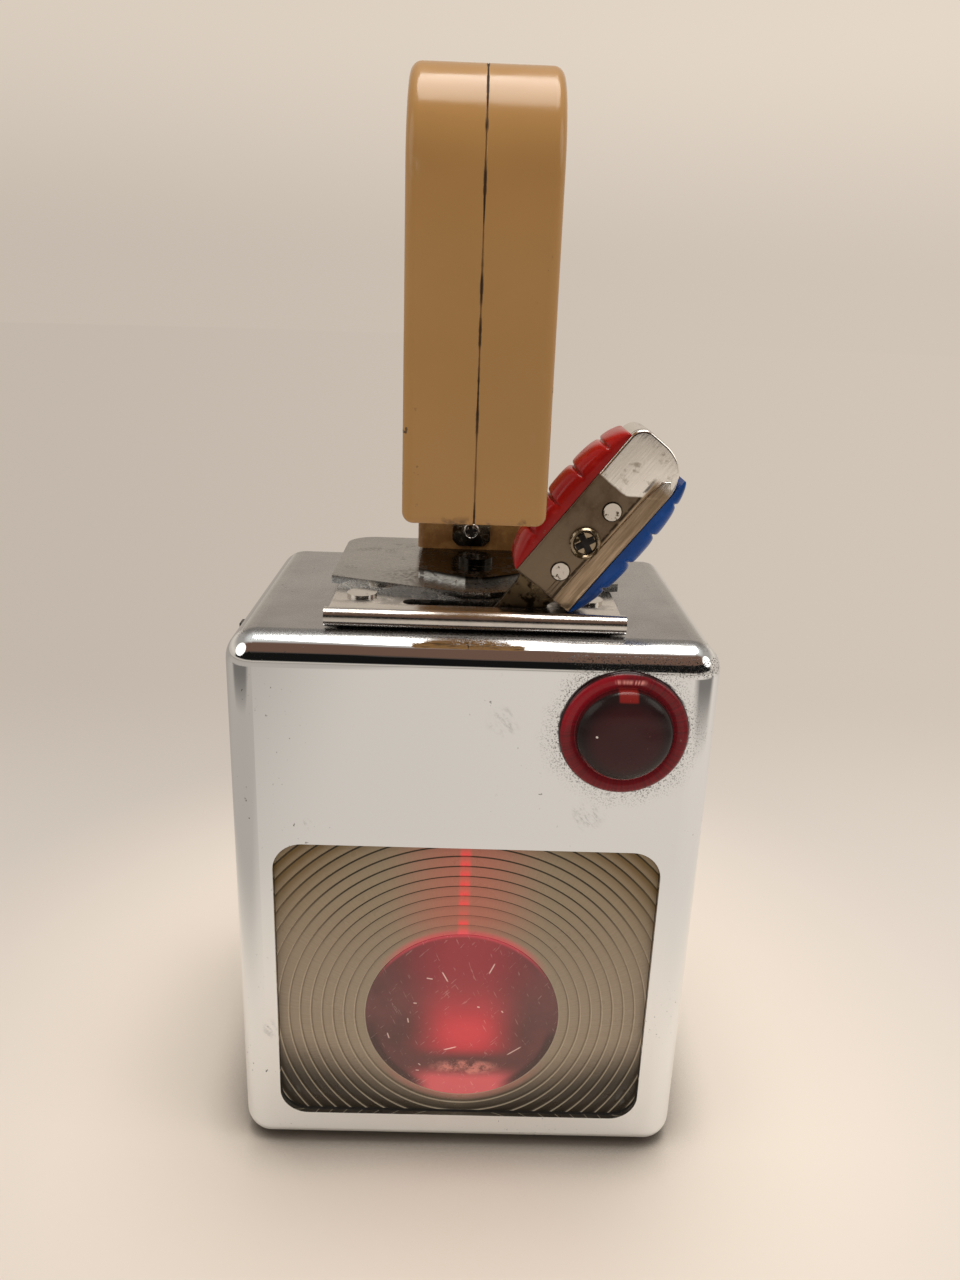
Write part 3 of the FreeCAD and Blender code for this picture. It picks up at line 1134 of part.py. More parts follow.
# The battery cells between the shelf and the contact board
CELL_Z = "(body_height - cell_drop - cell_length / 2)"
SHELF_TOP = f"({CELL_Z} - contact_sheet)"
SHELF_BOTTOM = f"({SHELF_TOP} - shelf_sheet)"


def make_battery():
    shelf_front = "(bulkhead_y + bulkhead_sheet)"
    shelf_back = f"({BACK} - body_wall - door_rim_depth)"
    half = "(body_width / 2 - body_wall - seat_gap)"
    board_z = f"({CELL_Z} + cell_length + cell_nub_height + contact_play + contact_sheet)"
    node("cell_shelf", panel("cell_shelf", (f"2 * {half}", f"{shelf_back} - {shelf_front}",
                                            "shelf_sheet"),
                             (f"-{half}", shelf_front, SHELF_BOTTOM),
                             "body_radius", "z"))
    node("contact_board", block("contact_board", (f"2 * {half} - 2 * switch_body_depth",
                                                  f"{shelf_back} - {shelf_front}", "shelf_sheet"),
                                (f"-{half} + switch_body_depth", shelf_front, board_z)))
    pitch = "(2 * cell_radius + cell_gap)"
    count = int(size("cell_count"))
    for number in range(count):
        x = f"({number - (count - 1) / 2} * {pitch})"
        name = f"cell_{number + 1}"
        can = rod(name + "_can", "cell_radius", "cell_length", (x, "cell_y", CELL_Z))
        nub = rod(name + "_nub", "cell_nub_radius", "cell_nub_height",
                  (x, "cell_y", f"{CELL_Z} + cell_length"))
        node(name, fuse(name, can, nub))
    length = f"((cell_count - 1) * {pitch} + contact_width)"
    for level, bottom in (("lower", SHELF_TOP), ("upper", f"{board_z} - contact_sheet")):
        name = f"{level}_contact"
        node(name, block(name, (length, "contact_width", "contact_sheet"),
                         (f"-{length} / 2", "cell_y - contact_width / 2", bottom)))


# The rear door with its hinge, finger tab, rubber seal and spring catch
def make_door():
    low = "door_margin"
    height = "(body_height - 2 * door_margin)"
    inside = f"({BACK} + door_gap)"
    half = f"({OPENING_HALF} - door_rim_gap)"
    rim_low = f"({OPENING_LOW} + door_rim_gap)"
    rim_height = f"({OPENING_HIGH} - {OPENING_LOW} - 2 * door_rim_gap)"
    rim_front = f"({inside} - door_rim_depth)"
    leaf = panel("door_leaf", (DOOR_WIDTH, "door_sheet", height),
                 (f"-{DOOR_WIDTH} / 2", inside, low), "door_radius", "y")
    rim = panel("door_rim", (f"2 * {half}", "door_rim_depth", rim_height),
                (f"-{half}", rim_front, rim_low), "door_radius - door_rim_gap", "y")
    inset = panel("door_rim_hollow", (f"2 * {half} - 2 * door_sheet", "2 * door_rim_depth",
                                      f"{rim_height} - 2 * door_sheet"),
                  (f"-{half} + door_sheet", f"{inside} - 2 * door_rim_depth",
                   f"{rim_low} + door_sheet"), "door_radius - door_rim_gap - door_sheet", "y")
    outer_y = f"({inside} + door_sheet)"
    tab = panel("door_pull", ("pull_width", "pull_depth + door_sheet / 2", "pull_height"),
                (f"{DOOR_WIDTH} / 2 - 2 * pull_width", f"{outer_y} - door_sheet / 2",
                 "body_height / 2 - pull_height / 2"), "pull_width / 4", "y")
    node("rear_door", fuse("rear_door", leaf, cut("door_rim_frame", rim, inset), tab))

    seal = panel("door_seal_blank", (f"2 * {half} - 2 * door_sheet", "door_sheet",
                                     f"{rim_height} - 2 * door_sheet"),
                 (f"-{half} + door_sheet", f"{inside} - door_sheet", f"{rim_low} + door_sheet"),
                 "door_radius - door_rim_gap - door_sheet", "y")
    seal_hole = panel("door_seal_hole", (f"2 * {half} - 8 * door_sheet", "3 * door_sheet",
                                         f"{rim_height} - 8 * door_sheet"),
                      (f"-{half} + 4 * door_sheet", f"{inside} - 2 * door_sheet",
                       f"{rim_low} + 4 * door_sheet"), "door_rim_gap", "y")
    node("door_seal", cut("door_seal", seal, seal_hole))

    make_hinge(outer_y)

    wall_x = "(body_width / 2 - body_wall)"
    bottom = f"({SHELF_BOTTOM} - catch_gap - catch_height)"
    arm_y = f"({BACK} - body_radius - catch_sheet)"
    leaf = block("catch_leaf", ("catch_sheet", "catch_length", "catch_height"),
                 (f"{wall_x} - catch_sheet", f"{arm_y} + catch_sheet - catch_length", bottom))
    arm = block("catch_arm", (f"{wall_x} - {half} + catch_nose", "catch_sheet", "catch_height"),
                (f"{half} - catch_nose", arm_y, bottom))
    nose = block("catch_nose", ("catch_nose", f"{rim_front} - door_gap - {arm_y}", "catch_height"),
                 (f"{half} - catch_nose", arm_y, bottom))
    node("door_catch", fuse("door_catch", leaf, arm, nose))


def make_hinge(outer_y):
    axis_x = "(-body_width / 2 + hinge_x)"
    axis_y = f"({BACK} + hinge_y)"
    third = "(hinge_length / 3)"
    length = f"({third} - door_gap)"
    bore = rod("hinge_bore", "hinge_pin_radius", "hinge_length",
               (axis_x, axis_y, "hinge_bottom"))
    loose_bore = rod("hinge_loose_bore", "hinge_pin_radius + pin_clearance", "hinge_length",
                     (axis_x, axis_y, "hinge_bottom"))
    knuckles = [rod(f"hinge_knuckle_{level}", "knuckle_radius", length, (axis_x, axis_y, bottom))
                for level, bottom in (("low", "hinge_bottom"),
                                      ("high", f"hinge_bottom + 2 * {third} + door_gap"))]
    leaf = block("hinge_body_leaf", ("hinge_leaf", f"{axis_y} - {BACK} + 3 * body_radius",
                                     "hinge_length"),
                 ("-body_width / 2 - hinge_leaf", f"{BACK} - 3 * body_radius", "hinge_bottom"))
    relief = rod("hinge_relief", "knuckle_radius + door_gap", f"{third} + door_gap",
                 (axis_x, axis_y, f"hinge_bottom + {third} - door_gap / 2"))
    node("hinge_leaf_body", cut("hinge_leaf_body", fuse("hinge_body_blank", leaf, *knuckles),
                                bore, relief))

    middle = f"hinge_bottom + {third} + door_gap"
    knuckle = rod("hinge_knuckle_middle", "knuckle_radius", f"{third} - 2 * door_gap",
                  (axis_x, axis_y, middle))
    tongue = block("hinge_door_tongue", (f"-{DOOR_WIDTH} / 2 - {axis_x} + 2 * pull_width",
                                         "hinge_leaf", f"{third} - 2 * door_gap"),
                   (axis_x, outer_y, middle))
    node("hinge_leaf_door", cut("hinge_leaf_door", fuse("hinge_door_blank", knuckle, tongue),
                                loose_bore))
    node("hinge_pin", rod("hinge_pin", "hinge_pin_radius", "hinge_length",
                          (axis_x, axis_y, "hinge_bottom")))


# The turning switch on the left side
def make_switch():
    wall = "(-body_width / 2)"
    knob = rod("switch_knob_disc", "switch_knob_radius", "switch_knob_length",
               (f"{wall} - switch_knob_length - running_gap", "switch_y", SWITCH_Z), "x")
    bar = block("switch_knob_bar", ("switch_knob_length / 2", "switch_knob_radius / 2",
                                    "2 * switch_knob_radius + 2 * body_wall"),
                (f"{wall} - switch_knob_length - running_gap", "switch_y - switch_knob_radius / 4",
                 f"{SWITCH_Z} - switch_knob_radius"))
    shaft = rod("switch_shaft", "switch_shaft_radius", "body_wall + running_gap + switch_body_depth / 2",
                (f"{wall} - running_gap", "switch_y", SWITCH_Z), "x")
    node("switch_knob", fuse("switch_knob", knob, bar, shaft))
    housing = block("switch_housing_block", ("switch_body_depth", "switch_body_side", "switch_body_side"),
                    (f"{wall} + body_wall", "switch_y - switch_body_side / 2",
                     f"{SWITCH_Z} - switch_body_side / 2"))
    well = rod("switch_housing_well", "switch_shaft_radius + pin_clearance",
               "switch_body_depth / 2 + running_gap",
               (f"{wall} + body_wall", "switch_y", SWITCH_Z), "x")
    node("switch_housing", cut("switch_housing", housing, well))


def check():
    """Stop where a piece failed to build or is not one sound solid."""
    faults = []
    for item in doc.Objects:
        if "Invalid" in item.State or "Error" in item.State:
            faults.append(f"{item.Name} {item.State}")
    for name, item in NODES.items():
        shape = item.Shape
        if shape.isNull() or not shape.isValid() or len(shape.Solids) != 1:
            faults.append(f"{name} is not one valid solid ({len(shape.Solids)})")
    if faults:
        raise SystemExit("\n".join(faults))


def write():
    os.makedirs("parts", exist_ok=True)
    for name, item in NODES.items():
        item.Shape.exportStep(f"parts/{name}.step")
    print(len(NODES), "pieces written")


for make in (make_shell, make_lens, make_marker, make_guide, make_mount, make_handle, make_lever,
             make_bracket, make_carrier, make_optics, make_battery, make_door, make_switch):
    make()
doc.recompute()
check()
write()
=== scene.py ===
# %% [markdown]
# # Dressing a railway signal lamp
# The lamp comes from CAD as a imported model: sixty separate parts, already in place and in metres.
# This lesson keeps that frame and gives it the look of the real, much used lamp: chrome that
# mirrors a pale room, a stepped lens with a red glass behind it, moulded plastic and dirty metal.
# Each piece made here is parented to an empty named for the body that carries it, the housing or
# the lever, so that it can move with that body.

# %% Load the frame
import math

import bmesh
import bpy
from mathutils import Matrix, Vector


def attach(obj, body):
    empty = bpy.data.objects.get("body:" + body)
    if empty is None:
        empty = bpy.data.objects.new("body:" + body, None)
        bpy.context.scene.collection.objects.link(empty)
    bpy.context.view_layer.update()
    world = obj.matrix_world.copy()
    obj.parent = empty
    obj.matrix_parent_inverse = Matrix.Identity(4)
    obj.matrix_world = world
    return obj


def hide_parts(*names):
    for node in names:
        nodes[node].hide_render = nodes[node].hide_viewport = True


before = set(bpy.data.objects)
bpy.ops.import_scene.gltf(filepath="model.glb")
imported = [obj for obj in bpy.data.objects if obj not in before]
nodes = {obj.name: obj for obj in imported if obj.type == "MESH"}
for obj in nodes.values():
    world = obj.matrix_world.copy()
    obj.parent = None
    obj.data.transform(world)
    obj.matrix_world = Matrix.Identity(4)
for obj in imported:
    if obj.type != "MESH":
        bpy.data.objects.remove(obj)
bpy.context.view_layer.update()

MM = 0.001
scene = bpy.context.scene
scene.view_settings.view_transform = "Standard"

# %% [markdown]
# ## The camera
# The photograph was taken with a phone held a little above the lamp and looking down. Its long
# lens side is 1280 pixels and its focal length about 1000 pixels, which Blender wants as
# millimetres on a 36 mm sensor. A camera's axes are its right, its up and its backward
# direction, so the matrix is built from those three, turned by the small roll of the hand.

# %% Place the camera
PHOTO_HEIGHT = 1280
FOCAL_PIXELS = 1000
SENSOR = 36.0
PITCH, YAW, ROLL = math.radians(18.85), math.radians(1.10), math.radians(2.09)
EYE = Vector((-2.9, -248.3, 211.3)) * MM

forward = Vector((math.sin(YAW) * math.cos(PITCH), math.cos(YAW) * math.cos(PITCH),
                  -math.sin(PITCH)))
level_right = Vector((math.cos(YAW), -math.sin(YAW), 0))
level_up = level_right.cross(forward)
right = level_right * math.cos(ROLL) + level_up * math.sin(ROLL)
up = level_up * math.cos(ROLL) - level_right * math.sin(ROLL)

lens = bpy.data.cameras.new("camera")
lens.sensor_width = SENSOR
lens.lens = SENSOR * FOCAL_PIXELS / PHOTO_HEIGHT
lens.clip_start = 0.01
camera = bpy.data.objects.new("camera", lens)
scene.collection.objects.link(camera)
axes = Matrix((right, up, -forward)).transposed()
camera.matrix_world = Matrix.Translation(EYE) @ axes.to_4x4()
scene.camera = camera
print("focal length", round(lens.lens, 2), "mm")

# %% [markdown]
# ## A short way to write finishes
# Every finish is a Principled shader fed by a few noise patterns. Written out with plain node
# calls a finish takes a page, so two small classes stand between. A Value is what a node gives
# out. It can be added, multiplied and compared like a number, and each such step makes a node.
# Words makes the nodes of one tree, and Finish is the Words of one material. Patterns read Object
# coordinates, which are metres on the real lamp, so a scale of 1000 gives marks of about a
# millimetre.

# %% Values, words and finishes
class Value:
    """A number or a colour that a node tree works out for every point."""

    def __init__(self, words, socket):
        self.words, self.socket = words, socket

    def __add__(self, other):
        return self.words.maths("ADD", self, other)

    def __radd__(self, other):
        return self.words.maths("ADD", other, self)

    def __sub__(self, other):
        return self.words.maths("SUBTRACT", self, other)

    def __mul__(self, other):
        return self.words.maths("MULTIPLY", self, other)

    def __truediv__(self, other):
        return self.words.maths("DIVIDE", self, other)

    def __abs__(self):
        return self.words.maths("ABSOLUTE", self)

    def between(self, low, high, start=0.0, end=1.0):
        """Start up to low, end from high on, and an even step in between."""
        return self.words.node("MapRange", 0, {"Value": self, "From Min": low, "From Max": high,
                                               "To Min": start, "To Max": end},
                               interpolation_type="SMOOTHSTEP")

    def band(self, low, high, soft):
        """One between low and high, nought outside."""
        return self.between(low - soft, low + soft) * self.between(high + soft, high - soft)

    def towards(self, hue, factor):
        """This colour, changed into another hue by a factor."""
        return self.words.mix(factor, self, hue)


def highest(first, *others):
    """The largest of some values at every point."""
    for other in others:
        first = first.words.maths("MAXIMUM", first, other)
    return first


class Words:
    """Short words for the nodes of one tree. Patterns start from the coordinates of a space."""

    def __init__(self, tree, space):
        self.tree = tree
        self.here = self.node("TexCoord", space)

    def feed(self, socket, value):
        """Link a socket to a value, or set it where the value is plain."""
        if isinstance(value, Value):
            self.tree.links.new(value.socket, socket)
        elif socket.type == "RGBA" and len(value) == 3:
            socket.default_value = (*value, 1)
        else:
            socket.default_value = value

    def node(self, kind, output=0, inputs=(), **properties):
        made = self.tree.nodes.new("ShaderNode" + kind)
        for name, value in properties.items():
            setattr(made, name, value)
        for key, value in dict(inputs).items():
            self.feed(made.inputs[key], value)
        return Value(self, made.outputs[output])

    def maths(self, operation, first, second=0.0, third=0.0):
        return self.node("Math", 0, {0: first, 1: second, 2: third}, operation=operation)

    def vector(self, operation, first, second=(0, 0, 0), output=0):
        return self.node("VectorMath", output, {0: first, 1: second}, operation=operation)

    def mix(self, factor, first, second):
        return self.node("Mix", 2, {0: factor, 6: first, 7: second}, data_type="RGBA")

    def blend(self, factor, first, second):
        """The same as mix, for plain numbers."""
        return self.node("Mix", 0, {0: factor, 2: first, 3: second}, data_type="FLOAT")

    def stretch(self, scale=(1, 1, 1), turn=(0, 0, 0)):
        """The coordinates, turned and then stretched."""
        turned = self.node("Mapping", inputs={"Vector": self.here, "Rotation": turn})
        return self.node("Mapping", inputs={"Vector": turned, "Scale": scale})

    def noise(self, scale, detail=4.0, rough=0.55, where=None):
        return self.node("TexNoise", 0, {"Vector": where or self.here, "Scale": scale,
                                         "Detail": detail, "Roughness": rough})

    def spots(self, scale, low, high, **noise):
        """Patches where a noise rises above a level."""
        return self.noise(scale, **noise).between(low, high)

    def axis(self, name):
        return self.node("SeparateXYZ", name, {0: self.here})

    def along(self, direction, point):
        """Distance from a point, measured along a direction."""
        return self.vector("DOT_PRODUCT", self.vector("SUBTRACT", self.here, point), direction, 1)

    def far_from(self, point, flatten=(1, 0, 1), where=None):
        """Distance from a point. A nought in flatten leaves an axis out, here the depth."""
        flat = self.vector("MULTIPLY", self.vector("SUBTRACT", where or self.here, point), flatten)
        return self.vector("LENGTH", flat, output=1)


class Finish(Words):
    """A material and the words that feed its shader."""

    def __init__(self, name, **settings):
        self.material = bpy.data.materials.new(name)
        self.material.use_nodes = True
        super().__init__(self.material.node_tree, "Object")
        self.shader = self.tree.nodes["Principled BSDF"]
        self.output = self.tree.nodes["Material Output"]
        for socket, value in settings.items():
            self.set(socket, value)

    def set(self, socket, value):
        self.feed(self.shader.inputs[socket.replace("_", " ")], value)

    def dull(self, scale, low, high, detail=4.0):
        """An uneven roughness between low and high."""
        self.set("Roughness", self.noise(scale, detail).between(0.3, 0.7, low, high))

    def bump(self, height, strength=0.3, distance=0.0002):
        self.set("Normal", self.node("Bump", 0, {"Height": height, "Strength": strength,
                                                 "Distance": distance}))


def colour(red, green, blue):
    """A colour from 0 to 255 as it looks on the screen, as the linear colour of a shader."""
    return tuple(((c / 255 + 0.055) / 1.055) ** 2.4 if c > 10 else c / 255 / 12.92
                 for c in (red, green, blue))


def dress(finish, *names):
    """Give CAD parts a finish in place of their plain one."""
    for name in names:
        for slot in nodes[name].material_slots:
            slot.material = finish.material


# %% [markdown]
# ## A short way to make pieces
# A piece starts as a bmesh, the editable mesh of Blender's mesh code. When its shape is done it
# needs the same few steps each time: doubles merged, faces turned outwards, smooth shading with
# sharp creases, its finishes, and the body of the lamp that carries it.

# %% From a bmesh to a finished piece
CREASE = math.radians(32)


def finish_piece(name, shape, body, replaced, finishes):
    bmesh.ops.remove_doubles(shape, verts=shape.verts, dist=0.004 * MM)
    bmesh.ops.recalc_face_normals(shape, faces=shape.faces)
    for face in shape.faces:
        face.smooth = True
    for edge in shape.edges:
        edge.smooth = edge.calc_face_angle(0) < CREASE
    mesh = bpy.data.meshes.new(name)
    shape.to_mesh(mesh)
    shape.free()
    for each in finishes:
        mesh.materials.append(each.material)
    piece = bpy.data.objects.new(name, mesh)
    scene.collection.objects.link(piece)
    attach(piece, body)
    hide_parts(*replaced)
    print(name, "faces", len(mesh.polygons))
    return piece


def turned(profile, centre, steps):
    """A turned shape about a front-to-back axis, from (radius, depth) pairs in millimetres."""
    shape = bmesh.new()
    rim = [shape.verts.new((centre[0] + radius * MM, depth * MM, centre[1]))
           for radius, depth in profile]
    edges = [shape.edges.new(pair) for pair in zip(rim, rim[1:])]
    bmesh.ops.spin(shape, geom=rim + edges, cent=(centre[0], 0, centre[1]), axis=(0, 1, 0),
                   angle=2 * math.pi, steps=steps, use_merge=True)
    bmesh.ops.remove_doubles(shape, verts=shape.verts, dist=0.002 * MM)
    return shape


# %% [markdown]
# ## Chrome
# Chrome is a mirror, so its colour is mostly that of the room. What tells old chrome from new is
# the haze on its top, the fine pits where it has started to lift, the grey smudges of handling
# and the dirt that stays round whatever is set into it. The haze goes into the roughness, the
# pits into both the colour and the bump.

# %% A recipe for chrome
GRIME = colour(70, 60, 50)


def chrome(name, haze, top_haze, top, shade, top_shade):
    """Chrome with its own haze below the height of top, and another shade and haze above it."""
    finish = Finish(name, Metallic=1.0)
    pits = finish.spots(900, 0.67, 0.74, detail=3) * finish.spots(60, 0.5, 0.66)
    finish.upper = finish.axis("Z").between(top - 0.0012, top - 0.0002)
    rough = finish.noise(28, 5, 0.6).between(0.35, 0.75, haze * 0.6, haze * 1.5)
    hazy = finish.noise(1900, 3, 0.6).between(0.3, 0.7, top_haze * 0.85, top_haze * 1.25)
    cloud = finish.noise(55, 5, 0.65).between(0.3, 0.7)
    # Above top the colour is top_shade, clouded a little darker: worn chrome on most parts, a
    # painted reflection on the foot under the handle.
    worn = finish.mix(cloud, top_shade, tuple(0.80 * c for c in top_shade))
    finish.marks = pits
    finish.shade = finish.mix(finish.upper, shade, worn)
    finish.rough = finish.blend(finish.upper, rough, hazy)
    return finish


def stain(finish, marks, dirt=GRIME, dirt_rough=0.55):
    """Lay the marks over a chrome finish."""
    finish.set("Base_Color", finish.mix(marks, finish.shade, dirt))
    finish.set("Roughness", finish.blend(marks, finish.rough, dirt_rough))


# %% [markdown]
# The box has its own marks. Grit has gathered round the small red lens and under the top edge
# beside it, a few grey smudges sit on the front, and the chrome is speckled all along the top
# edge. Each smudge is a soft spot that a fine noise breaks up into grains.

# %% The chrome of the box
MIRROR = (0.84, 0.875, 0.90)
BOX_TOP = 0.140
MARKER = (0.0341, -0.042, 0.120)
MARKER_FLANGE = 14.7 * MM
SMUDGES = [((0.0070, 0.1215), 0.0048, 1, 0.75), ((0.0275, 0.0985), 0.0050, 1, 0.80),
           ((-0.0375, 0.0945), 0.0026, 2, 0.7), ((-0.0480, 0.0360), 0.0040, 1.6, 0.7)]

box_chrome = chrome("box_chrome", 0.035, 0.26, BOX_TOP, MIRROR, (0.42, 0.42, 0.42))
grit = box_chrome.spots(2600, 0.53, 0.60, detail=3, rough=0.7)
grains = box_chrome.spots(900, 0.45, 0.75, detail=6, rough=0.8,
                          where=box_chrome.stretch((1, 1, 0.4), (0, 0.7, 0)))
uneven = box_chrome.noise(130, 4, 0.7) * 0.0065
reach = box_chrome.far_from(MARKER) + uneven
crust = reach.between(MARKER_FLANGE + 0.0088, MARKER_FLANGE + 0.0022) * grit
at_rim = box_chrome.far_from(MARKER).between(MARKER_FLANGE + 0.0006, MARKER_FLANGE)
rim_dirt = at_rim * box_chrome.spots(700, 0.45, 0.6)
marks = highest(box_chrome.marks, crust * 0.85, rim_dirt * 0.8)
for (x, z), size, slim, strength in SMUDGES:
    spot = box_chrome.far_from((x, 0, z), (slim, 0, 1)).between(size, 0.0, 0.0, strength)
    marks = highest(marks, spot * grains)
wide = box_chrome.axis("X").between(0.012, 0.046, 0.0, 0.0028)
wedge = (box_chrome.axis("Z") + wide).between(0.1358, 0.1366)
wedge = (wedge * box_chrome.axis("Z").between(0.138, 0.137) * grit *
         box_chrome.axis("X").between(0.014, 0.026) * box_chrome.axis("Y").between(-0.03, -0.034))
edge_zone = (box_chrome.axis("Z").band(0.1384, 0.1397, 0.0004) *
             box_chrome.axis("Y").between(-0.03, -0.034))
edge_dust = edge_zone * grit * box_chrome.spots(90, 0.42, 0.6) * 0.7
at_front = box_chrome.axis("Y").between(-0.028, -0.034)
front_marks = highest(marks, wedge, edge_dust) * at_front
stain(box_chrome, highest(box_chrome.marks, front_marks), colour(58, 52, 46))
box_chrome.bump(box_chrome.noise(1500, 3, 0.6) * box_chrome.upper, 0.14, 0.0001)
dress(box_chrome, "body_shell", "rear_door", "hinge_leaf_body", "hinge_leaf_door")

# %% [markdown]
# The plates on top are chrome too, but worn satin by the hand that grips above them. They share
# the recipe with more haze. The top of the small foot under the handle, and the foot's rivet, are
# painted nearly black: painted reflection of the dark underside of the handle above them. Only the
# foot's cut edge is still bright. A bare bright steel serves for pins and screws.

# %% The plates, the pins and the screws
PLATE_TOP = 0.1444
FOOT_TOP = 0.1462

plate_chrome = chrome("plate_chrome", 0.12, 0.26, PLATE_TOP, (0.70, 0.70, 0.69),
                      (0.36, 0.35, 0.335))
sweat = plate_chrome.spots(150, 0.56, 0.66) * plate_chrome.spots(1400, 0.45, 0.6) * 0.4
near_foot = plate_chrome.far_from((0, -0.004, 0), (0.5, 1, 0)).between(0.014, 0.008)
near_foot = near_foot * plate_chrome.spots(700, 0.42, 0.62) * 0.5
stain(plate_chrome, highest(plate_chrome.marks, sweat, near_foot))
grain = plate_chrome.noise(900, 4, 0.65, plate_chrome.stretch((1, 0.15, 1)))
plate_chrome.bump(grain, 0.18, 0.0001)
dress(plate_chrome, "handle_mount_plate", "mount_spacer")

# The top of the foot is painted near-black: painted reflection of the dark underside of the handle.
# The spots are real dirt.
foot_chrome = chrome("foot_chrome", 0.16, 0.12, FOOT_TOP, (0.62, 0.62, 0.60), (0.030, 0.027, 0.023))
stain(foot_chrome, foot_chrome.spots(380, 0.52, 0.6) * 0.7)
foot_chrome.bump(foot_chrome.noise(500, 3), 0.10, 0.0001)
dress(foot_chrome, "handle_foot")

GUIDE_TOP = 0.1424
bead_chrome = chrome("bead_chrome", 0.06, 0.20, GUIDE_TOP, (0.78, 0.78, 0.77), (0.74, 0.71, 0.67))
slot_dirt = (bead_chrome.far_from((0, -0.02, 0), (0.1, 1, 0)).between(0.0042, 0.0026) *
             bead_chrome.spots(350, 0.4, 0.6) * 0.35)
stain(bead_chrome, highest(bead_chrome.marks, slot_dirt))
dress(bead_chrome, "guide_plate")

bright_steel = chrome("bright_steel", 0.20, 0.3, 1.0, (0.60, 0.58, 0.55), (0.5, 0.5, 0.5))
stain(bright_steel, bright_steel.spots(800, 0.66, 0.74))
dress(bright_steel, "guide_rivet_left", "guide_rivet_right", "handle_stud_left",
      "handle_stud_right", "handle_cross_screw_top", "handle_cross_screw_grip", "handle_core",
      "lever_pivot_pin", "carrier_pivot_pin", "hinge_pin", "detent_spring", "lens_frame",
      "door_catch", "marker_ring_nut")

# The foot's rivet is painted near-black too, as painted reflection of the handle's dark underside,
# with a few lighter dirt spots.
painted_dark_rivet = chrome("painted_dark_rivet_steel", 0.16, 0.2, 1.0, (0.050, 0.046, 0.040), (0.05, 0.05, 0.05))
stain(painted_dark_rivet, painted_dark_rivet.spots(500, 0.6, 0.7), colour(96, 84, 66))
dress(painted_dark_rivet, "foot_rivet")

zinc = chrome("zinc_steel", 0.35, 0.4, 1.0, (0.30, 0.30, 0.29), (0.3, 0.3, 0.3))
stain(zinc, zinc.spots(300, 0.58, 0.7))
dress(zinc, "lever_bracket", "filter_carrier", "bulkhead")

mirror = Finish("mirror_bowl", Metallic=1.0, Base_Color=colour(235, 233, 228))
mirror.dull(60, 0.04, 0.16)
dress(mirror, "reflector")

brass = chrome("contact_brass", 0.25, 0.3, 1.0, colour(190, 160, 96), colour(190, 160, 96))
stain(brass, brass.spots(300, 0.58, 0.7))
dress(brass, "lower_contact", "upper_contact", "main_socket", "marker_socket")

# %% [markdown]
# ## The handle
# The handle is an old urea moulding: opaque, warm beige, glossy where it is clean and dull where
# hands have rubbed it. Its two halves meet in a rounded groove that has filled with dirt in
# places. A faint cloud in the colour, small dark nicks along the edges and grease on the foot of
# the leg keep it from looking like paint. All of it sits on the CAD halves, which have the shape.

# %% The moulded handle
SEAM_X = -1.2 * MM
BEIGE = (0.45, 0.250, 0.088)
SEAM_DIRT = colour(40, 24, 12)

handle = Finish("beige_plastic", Specular_IOR_Level=0.35)
tone = handle.mix(handle.noise(18, 4).between(0.3, 0.7), BEIGE, tuple(0.9 * c for c in BEIGE))
from_seam = abs(handle.axis("X") - SEAM_X)
packed = handle.spots(60, 0.44, 0.56, detail=3, where=handle.stretch((0.05, 1, 1)))
seam_noise = handle.noise(240, 4, 0.7, handle.stretch((0.1, 1, 1)))
seam_width = seam_noise.between(0.3, 0.7, 0.00016, 0.0004)
seam = from_seam.between(seam_width, seam_width * 0.6)
seam = seam * packed.between(0, 1, 0.35, 1.0)
nicks = (handle.spots(420, 0.66, 0.7) * from_seam.between(0.0098, 0.0135) *
         handle.spots(34, 0.5, 0.6))
scuffs = (handle.spots(300, 0.5, 0.7, where=handle.stretch((1, 1, 0.4))) *
          from_seam.between(0.0095, 0.013) * handle.spots(26, 0.55, 0.68))
edge_low = (handle.axis("Z").between(0.1705, 0.1685) * handle.spots(260, 0.52, 0.62) *
            handle.axis("Y").between(-0.036, -0.038))
leg_foot = handle.axis("Z").between(0.168, 0.15) * handle.axis("Y").between(0.015, 0.017)
greased = leg_foot * handle.noise(230, 5, 0.7).between(0.25, 0.65, 0.25, 0.85)
tone = tone.towards(colour(196, 170, 138), scuffs * 0.5)
tone = tone.towards(colour(112, 76, 42), greased)
dark = highest(seam * 0.9, nicks, edge_low * 0.6)
handle.set("Base_Color", tone.towards(SEAM_DIRT, dark))
rough = handle.noise(38, 5, 0.6).between(0.35, 0.7, 0.12, 0.24)
rough = handle.blend(scuffs, rough, 0.5)
handle.set("Roughness", handle.blend(dark, rough, 0.7))
handle.bump(handle.noise(60, 2) + dark * -0.6, 0.1, 0.0005)
dress(handle, "handle_half_left", "handle_half_right")

# %% [markdown]
# The plate under the leg's screw is steel gone brown, with cut corners that still catch light. It
# keeps its CAD shape. The screw gets a cross, which CAD leaves out: a plus made from a grid of
# three by three faces without its corners, raised a little from the floor of the head's dish and
# coloured near-black as painted shade for a deep cross recess.

# %% The plate and the cross-head screw of the leg
washer_steel = chrome("washer_steel", 0.22, 0.3, 1.0, (0.20, 0.18, 0.14), (0.2, 0.2, 0.2))
stain(washer_steel, washer_steel.spots(420, 0.5, 0.62), colour(60, 44, 26))
dress(washer_steel, "handle_washer")

# Near-black for the cross: painted shade of a deep recess.
recess_painted_shade = Finish("recess_painted_shade", Base_Color=colour(16, 13, 10))
recess_painted_shade.dull(900, 0.5, 0.9)


